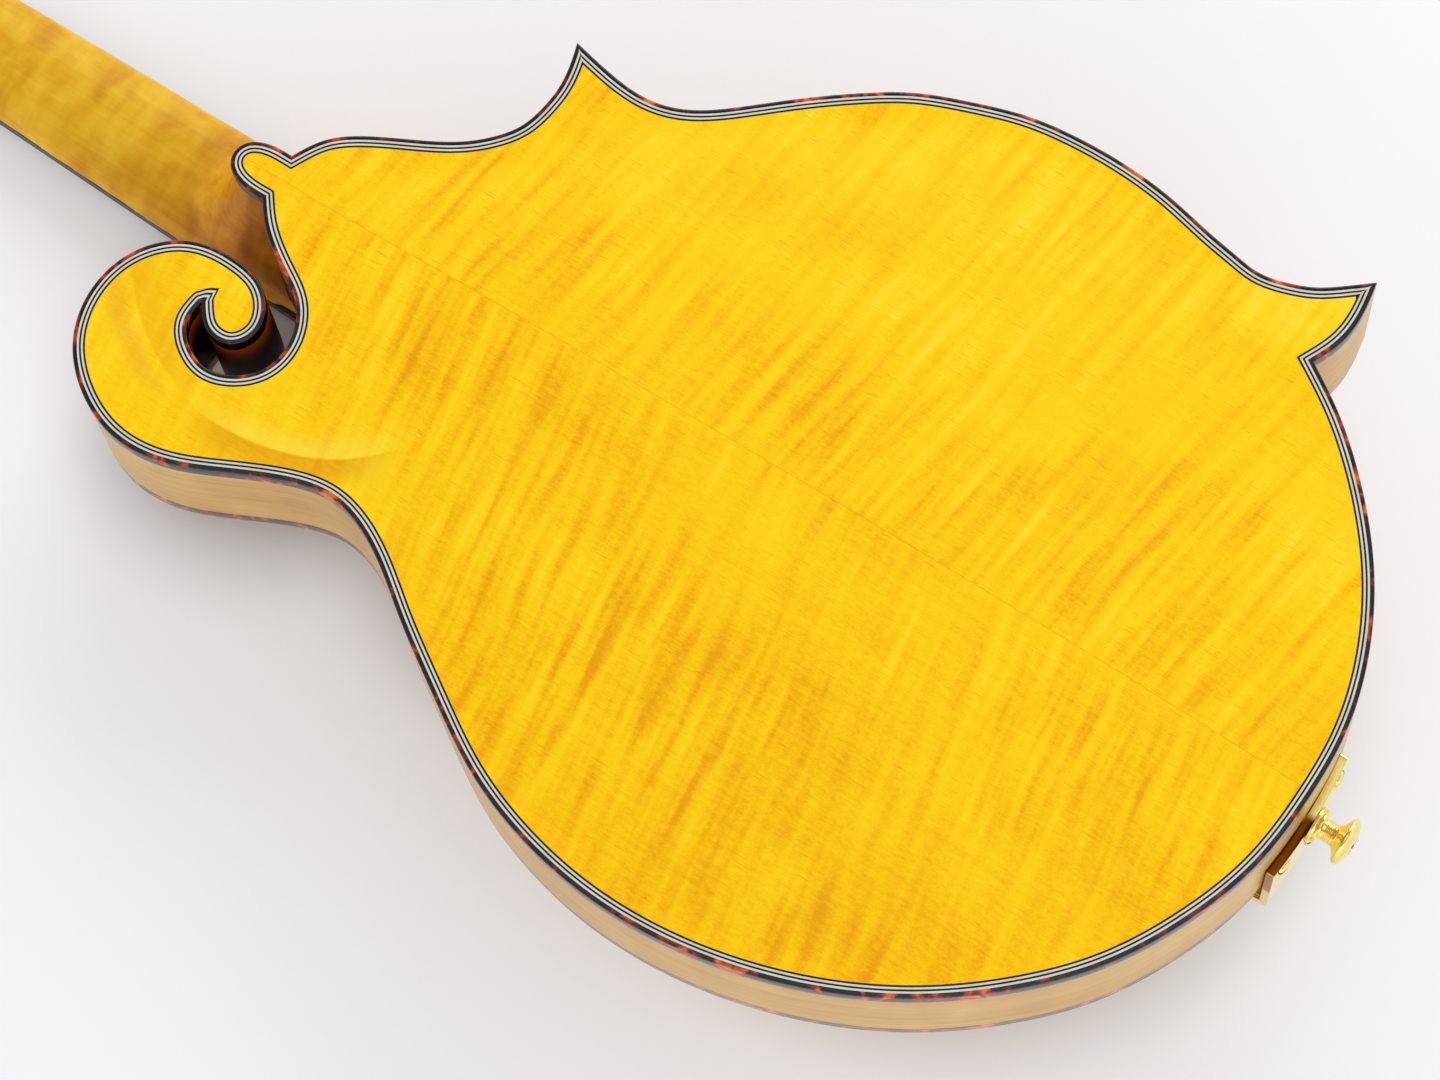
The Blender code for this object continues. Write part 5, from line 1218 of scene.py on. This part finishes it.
for word, side in (("bass", 1), ("treble", -1)):
    at = Matrix.Translation((BRIDGE_X, side * STUD_Y, 0))
    ring = []
    for k in range(96):
        a, r = math.tau * k / 96, 6.0 if k % 4 in (0, 1) else 5.72
        ring.append((r * math.cos(a), r * math.sin(a)))
    hole = [(1.85 * math.cos(math.tau * k / 96), 1.85 * math.sin(math.tau * k / 96)) for k in range(96)]
    section = [[(*hole[k], -1.3), (ring[k][0] * 0.94, ring[k][1] * 0.94, -1.3), (*ring[k], -1.0), (*ring[k], 1.0), (ring[k][0] * 0.94, ring[k][1] * 0.94, 1.3), (*hole[k], 1.3)] for k in range(96)]
    piece(f"wheel_{word}", *loops(section), GOLD, at @ Matrix.Translation((0, 0, SADDLE_FOOT + 1.8)), body=f"bridge_wheel_{word}", instead=[f"bridge_wheel_{word}"], slot="gold")
    z0, z1 = SADDLE_FOOT - 2.0, BASE_TOP + 4.0
    turns = int((z1 - z0) / 0.45)
    profile = []
    for k in range(turns):
        z = z0 + (z1 - z0) * k / turns
        profile += [(1.32, z), (1.5, z + 0.2)]
    piece(f"stud_{word}", *lathe(profile + [(1.3, z1)], 28), GOLD_SATIN, at, instead=[f"bridge_stud_{word}"], slot="gold")

# ---------------------------------------------------------------- tailpiece and strap button
TAIL_HALF, DECK_Z = 20.0, -10.4
plate_ring = [(-TAIL_HALF, DECK_Z), (TAIL_HALF, DECK_Z)] + [(TAIL_HALF - 1.2 + 1.2 * math.cos(a), 19.8 + 1.2 * math.sin(a)) for a in np.linspace(0, math.pi / 2, 6)]
plate_ring += [(-TAIL_HALF + 1.2 + 1.2 * math.cos(a), 19.8 + 1.2 * math.sin(a)) for a in np.linspace(math.pi / 2, math.pi, 6)]
end_plate = blank("end_plate", rings([[(x, y, z) for y, z in plate_ring] for x in (-2.7, -0.3)]))
bm = bmesh.new()
bm.from_mesh(end_plate.data)
for k in range(1, 16):
    bmesh.ops.bisect_plane(bm, geom=bm.verts[:] + bm.edges[:] + bm.faces[:], plane_co=(0, (k - 8) * 0.0025, 0), plane_no=(0, 1, 0))
for v in bm.verts:
    v.co.x += v.co.y**2 / 0.320
bm.to_mesh(end_plate.data)
bm.free()
deck_ring = [(-1.0, -19.4), (20, -19.2), (25, -18.7), (29, -18.0), (44, -17.0), (44, 17.0), (29, 18.0), (25, 18.7), (20, 19.2), (-1.0, 19.4)]
end_plate = cut(end_plate, blank("deck", prism(deck_ring, DECK_Z, DECK_Z + 1.6)), "UNION")
OUT_TAIL = Matrix.Translation((0, 0, 16.4)) @ Matrix.Rotation(-math.pi / 2, 4, "Y")
end_plate = cut(end_plate, blank("pin", moved(lathe([(2.6, -17.6), (2.6, 12.4)], 28), OUT_TAIL)))
end_plate = finished("tail_plate", end_plate, GOLD_EDGE, smooth=30, instead=["tailpiece_base"])
b = end_plate.modifiers.new("bevel", "BEVEL")
b.width, b.segments, b.limit_method, b.angle_limit = 0.0004, 3, "ANGLE", math.radians(50)
for y in (-14.5, 14.5):
    piece(f"tail_screw_{'bass' if y > 0 else 'treble'}", *screw_head(3.0, 0.9, 0.8), GOLD, Matrix.Translation((-2.6 + y * y / 320, y, 14.0)) @ Matrix.Rotation(-y / 160, 4, "Z") @ Matrix.Rotation(-math.pi / 2, 4, "Y") @ Matrix.Rotation(0.5 * y, 4, "Z"))
piece("tail_screw_low", *screw_head(3.0, 1.3, 0.9), GOLD, Matrix.Translation((-2.7, 0, 2.0)) @ Matrix.Rotation(-math.pi / 2, 4, "Y") @ Matrix.Rotation(1.1, 4, "Z"))
for note, pair, c, r, y_bridge, y_nut in string_list:
    y = y_bridge * 0.72
    hook = [(34.0, -1.2), (34.0, -3.6), (33.2, -4.3), (31.8, -4.3)]
    piece(f"hook_{note}{pair + 1}", *tube([(x, y - (0.9 if pair == 0 else -0.9) * 0, DECK_Z - 0.1 + z + 1.2) for x, z in hook], 0.45, 10), GOLD)

OUTER = [(-1.2, -19.8), (20, -21.2), (44, -20.8), (58, -16.5), (64, -9.0), (65.5, 0)]
INNER = [(0.0, -18.6), (20, -20.0), (43.5, -19.7), (57.1, -15.7), (62.8, -8.6), (64.2, 0)]


def cover_line(stations):
    half = spline(stations, lambda x, y: 1.5)
    half[-1] = (half[-1][0], 0.0)
    return half + [(x, -y) for x, y in half[-2::-1]]


lid_out, lid_in = cover_line(OUTER), cover_line(INNER)
while len(lid_in) > len(lid_out):
    lid_in.pop(len(lid_in) // 4)
    lid_in.pop(-len(lid_in) // 4)
while len(lid_out) > len(lid_in):
    lid_out.pop(len(lid_out) // 4)
    lid_out.pop(-len(lid_out) // 4)
roof = lambda x: -15.5 - 8.0 * (x + 4.6) / 72
hem = lambda x, y: min(DECK_Z - 0.4, -TOP_ARCH * arch_at(x, y) - 1.2)
toward = lambda q, s: (30 + (q[0] - 30) * s, q[1] * s)
levels = [[(x, y, hem(x, y)) for x, y in lid_in], [(x, y, roof(x) + 1.1) for x, y in lid_in]]
inner_roof = []
outer_levels = [[(x, y, hem(x, y)) for x, y in lid_out], [(x, y, roof(x) + 1.6) for x, y in lid_out]]
for s, d in ((0.995, 0.9), (0.982, 0.35), (0.962, 0.06), (0.94, 0.0)):
    outer_levels.append([(*toward(q, s), roof(toward(q, s)[0]) + d) for q in lid_out])
n = len(lid_out)
points = [p for ring in outer_levels[::-1] for p in ring] + [p for ring in levels for p in ring]
faces = []
count = len(outer_levels) + 2
for k in range(count - 1):
    for i in range(n):
        j = (i + 1) % n
        faces.append((k * n + i, k * n + j, (k + 1) * n + j, (k + 1) * n + i))
faces.append(tuple(range(n)))
faces.append(tuple((count - 1) * n + i for i in range(n)))
lid = blank("lid", (points, faces))
lid = cut(lid, blank("mouth", boxed((52, -20.5, -20.9), (80, 20.5, 0))))
finished("tail_cover", lid, GOLD, smooth=35, instead=["tailpiece_cover"], body="tailpiece_cover")

profile = [(2.2, -17), (2.2, 2.7), (5.0, 2.75), (5.35, 2.9), (5.4, 3.5), (5.25, 3.75), (4.95, 3.85), (4.9, 4.0), (5.0, 4.2), (5.0, 4.9), (4.8, 5.15), (3.5, 5.3), (3.15, 5.5), (3.1, 6.0)]
for k in range(5):
    profile += [(3.1, 6.3 + 0.5 * k), (3.02, 6.42 + 0.5 * k), (3.1, 6.55 + 0.5 * k)]
profile += [(3.1, 9.0), (3.25, 9.6), (3.8, 10.2), (4.9, 10.8), (6.2, 11.4), (6.9, 11.9), (7.1, 12.4), (7.05, 12.8), (6.7, 13.3), (6.0, 13.8), (5.0, 14.3), (3.9, 14.65), (2.6, 14.85), (1.2, 14.9)]
button = blank("strap", moved(lathe(profile, 64), OUT_TAIL))
cross = joined(*[moved(boxed((-2.7, -0.55, 13.2), (2.7, 0.55, 16)), OUT_TAIL @ Matrix.Rotation(a, 4, "Z")) for a in (0.35,)])
button = cut(button, blank("cross", cross))
cross = moved(boxed((-0.55, -2.7, 13.2), (0.55, 2.7, 16)), OUT_TAIL @ Matrix.Rotation(0.35, 4, "Z"))
button = cut(button, blank("cross", cross))
finished("strap_knob", button, GOLD, OUT_TAIL, smooth=32, instead=["strap_button"])

# ---------------------------------------------------------------- strings
nut_line = NECK @ Vector((TO_NUT + 1.2, 0, -STRING_OVER_NUT))
for slot_number, (note, pair, c, r, y_bridge, y_nut) in enumerate(string_list):
    finish = BRONZE if c < 2 else STEEL
    start = Vector((34, y_bridge * 0.72, DECK_Z - 3.2))
    over = Vector((BRIDGE_X, y_bridge, BRIDGE_TOP + r))
    nut_at = Vector((nut_line.x, y_nut, nut_line.z + r))
    side = 1 if c < 2 else -1
    number = slot_number if c < 2 else 7 - slot_number
    word = "bass" if c < 2 else "treble"
    post_at = HEAD @ Vector((POST_ALONG[number], side * (POST_SIDE - 2.2 - r), -5.6))
    tail_run = [start + (over - start) * t for t in np.linspace(0, 1, 13)]
    neck_run = [over + (nut_at - over) * t for t in np.linspace(0, 1, 33)]
    fan = [nut_at + (post_at - nut_at) * t for t in np.linspace(0, 1, 9)]
    node = f"string_{note}{pair + 1}"
    a = piece(f"string_{note}{pair + 1}_tail", *tube([tuple(p) for p in tail_run], r, 12), finish, body=None, instead=[node], slot="bronze" if c < 2 else "steel")
    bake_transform(a)
    b = piece(f"string_{note}{pair + 1}_play", *tube([tuple(p) for p in neck_run], r, 12), finish, body=None, slot="bronze" if c < 2 else "steel")
    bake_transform(b)
    levelled(piece(f"string_{note}{pair + 1}_head", *tube([tuple(p) for p in fan], r, 12), finish, slot="bronze" if c < 2 else "steel"))
    turns = 2.0 if c == 0 else 3.0 if c == 1 else 4.0
    pitch = 2 * r + 0.04
    windings = coil(2.2 + r, pitch, turns, r, -5.6 - 0.0, 8, start=-math.pi / 2 * side)
    piece(f"winding_{note}{pair + 1}", *windings, finish, HEAD @ Matrix.Translation((POST_ALONG[number], side * POST_SIDE, 0)), body=f"tuner_post_{word}_{number + 1}")
    # the ball end's loop round its hook
    loop = [(34 + 1.1 * math.cos(a), y_bridge * 0.72 + 1.1 * math.sin(a), DECK_Z - 3.0) for a in np.linspace(0.3, math.tau - 0.3, 17)]
    piece(f"loop_{note}{pair + 1}", *tube(loop, 0.22, 8), STEEL)

for node, finish in (("lining_top", RAW_MAPLE), ("lining_back", RAW_MAPLE), ("head_block", RAW_MAPLE), ("tail_block", RAW_MAPLE),
                     ("point_block_lower", RAW_MAPLE), ("point_block_upper", RAW_MAPLE), ("tone_bar_bass", RAW_SPRUCE), ("tone_bar_treble", RAW_SPRUCE),
                     ("truss_rod", STEEL), ("truss_rod_nut", STEEL)):
    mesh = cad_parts[node].data
    mesh.materials.clear()
    mesh.materials.append(finish)

# ---------------------------------------------------------------- floor and light
floor_mesh = bpy.data.meshes.new("floor")
floor_mesh.from_pydata([(-6, -6, 0), (6, -6, 0), (6, 6, 0), (-6, 6, 0)], [], [(0, 1, 2, 3)])
floor = bpy.data.objects.new("floor", floor_mesh)
bpy.context.scene.collection.objects.link(floor)
paper = Finish("floor_paper", Roughness=0.7, Specular_IOR_Level=0.1)
cloud = paper.noise(paper.object, 2.0, 0.5, 0.0, 1.5)
tint = paper.ramp(cloud, (0.3, rgb(216, 217, 220)), (0.7, rgb(220, 221, 224)))
paper.colour(tint)
paper.put(paper.surface.inputs["Emission Color"], rgb(252, 252, 255))
# painted light: the paper glows a little, and the glow is taken away under the instrument as a painted shadow
px, py, pz = paper.axes()
clear = None
# painted shadow: circles under the body, its upper half and the scroll, where the glow fades out
for at, r in (((105, 0, 0), 118.0), ((215, 0, 0), 95.0), ((318, 42, 0), 62.0)):
    c = BODY @ (Vector(at) * 0.001) * 1000
    dx, dy = paper.calc("SUBTRACT", px, c.x), paper.calc("SUBTRACT", py, c.y)
    far = paper.calc("SQRT", paper.calc("ADD", paper.calc("MULTIPLY", dx, dx), paper.calc("MULTIPLY", dy, dy)))
    far = paper.steps(far, r - 36.0, r + 8.0)
    clear = far if clear is None else paper.calc("MULTIPLY", clear, far)
paper.put(paper.surface.inputs["Emission Strength"], paper.calc("MULTIPLY", clear, 0.27))
floor_mesh.materials.append(paper.material)

# A pale room: bright towards the horizon and dim overhead, so level surfaces mirror little.
world = bpy.data.worlds.new("studio")
bpy.context.scene.world = world
world.use_nodes = True
sky = world.node_tree
height = sky.nodes.new("ShaderNodeSeparateXYZ")
where = sky.nodes.new("ShaderNodeTexCoord")
sky.links.new(where.outputs["Generated"], height.inputs[0])
dim = sky.nodes.new("ShaderNodeValToRGB")
for element, (at, level) in zip([dim.color_ramp.elements[0], dim.color_ramp.elements[1], dim.color_ramp.elements.new(0.6), dim.color_ramp.elements.new(0.85)], ((0.0, 1.0), (1.0, 0.10), (0.6, 0.78), (0.85, 0.26))):
    element.position = at
    element.color = (level, level, level, 1)
sky.links.new(height.outputs[2], dim.inputs[0])
sky.links.new(dim.outputs[0], sky.nodes["Background"].inputs[0])
sky.nodes["Background"].inputs[1].default_value = 1.16


def softbox(name, place, target, size, power, colour=(1, 1, 1)):
    lamp = bpy.data.lights.new(name, "AREA")
    lamp.shape = "RECTANGLE"
    lamp.size, lamp.size_y = size
    lamp.energy = power
    lamp.color = colour
    obj = bpy.data.objects.new(name, lamp)
    bpy.context.scene.collection.objects.link(obj)
    obj.location = place
    obj.rotation_mode = "QUATERNION"
    obj.rotation_quaternion = (Vector(place) - Vector(target)).to_track_quat("Z", "Y")


softbox("key", (0.5, -1.9, 1.35), (0, 0, 0.05), (1.8, 1.2), 18, (1.0, 0.995, 0.985))
softbox("fill", (-1.5, 1.3, 1.0), (0, 0, 0.05), (1.4, 1.2), 7, (0.97, 0.98, 1.0))
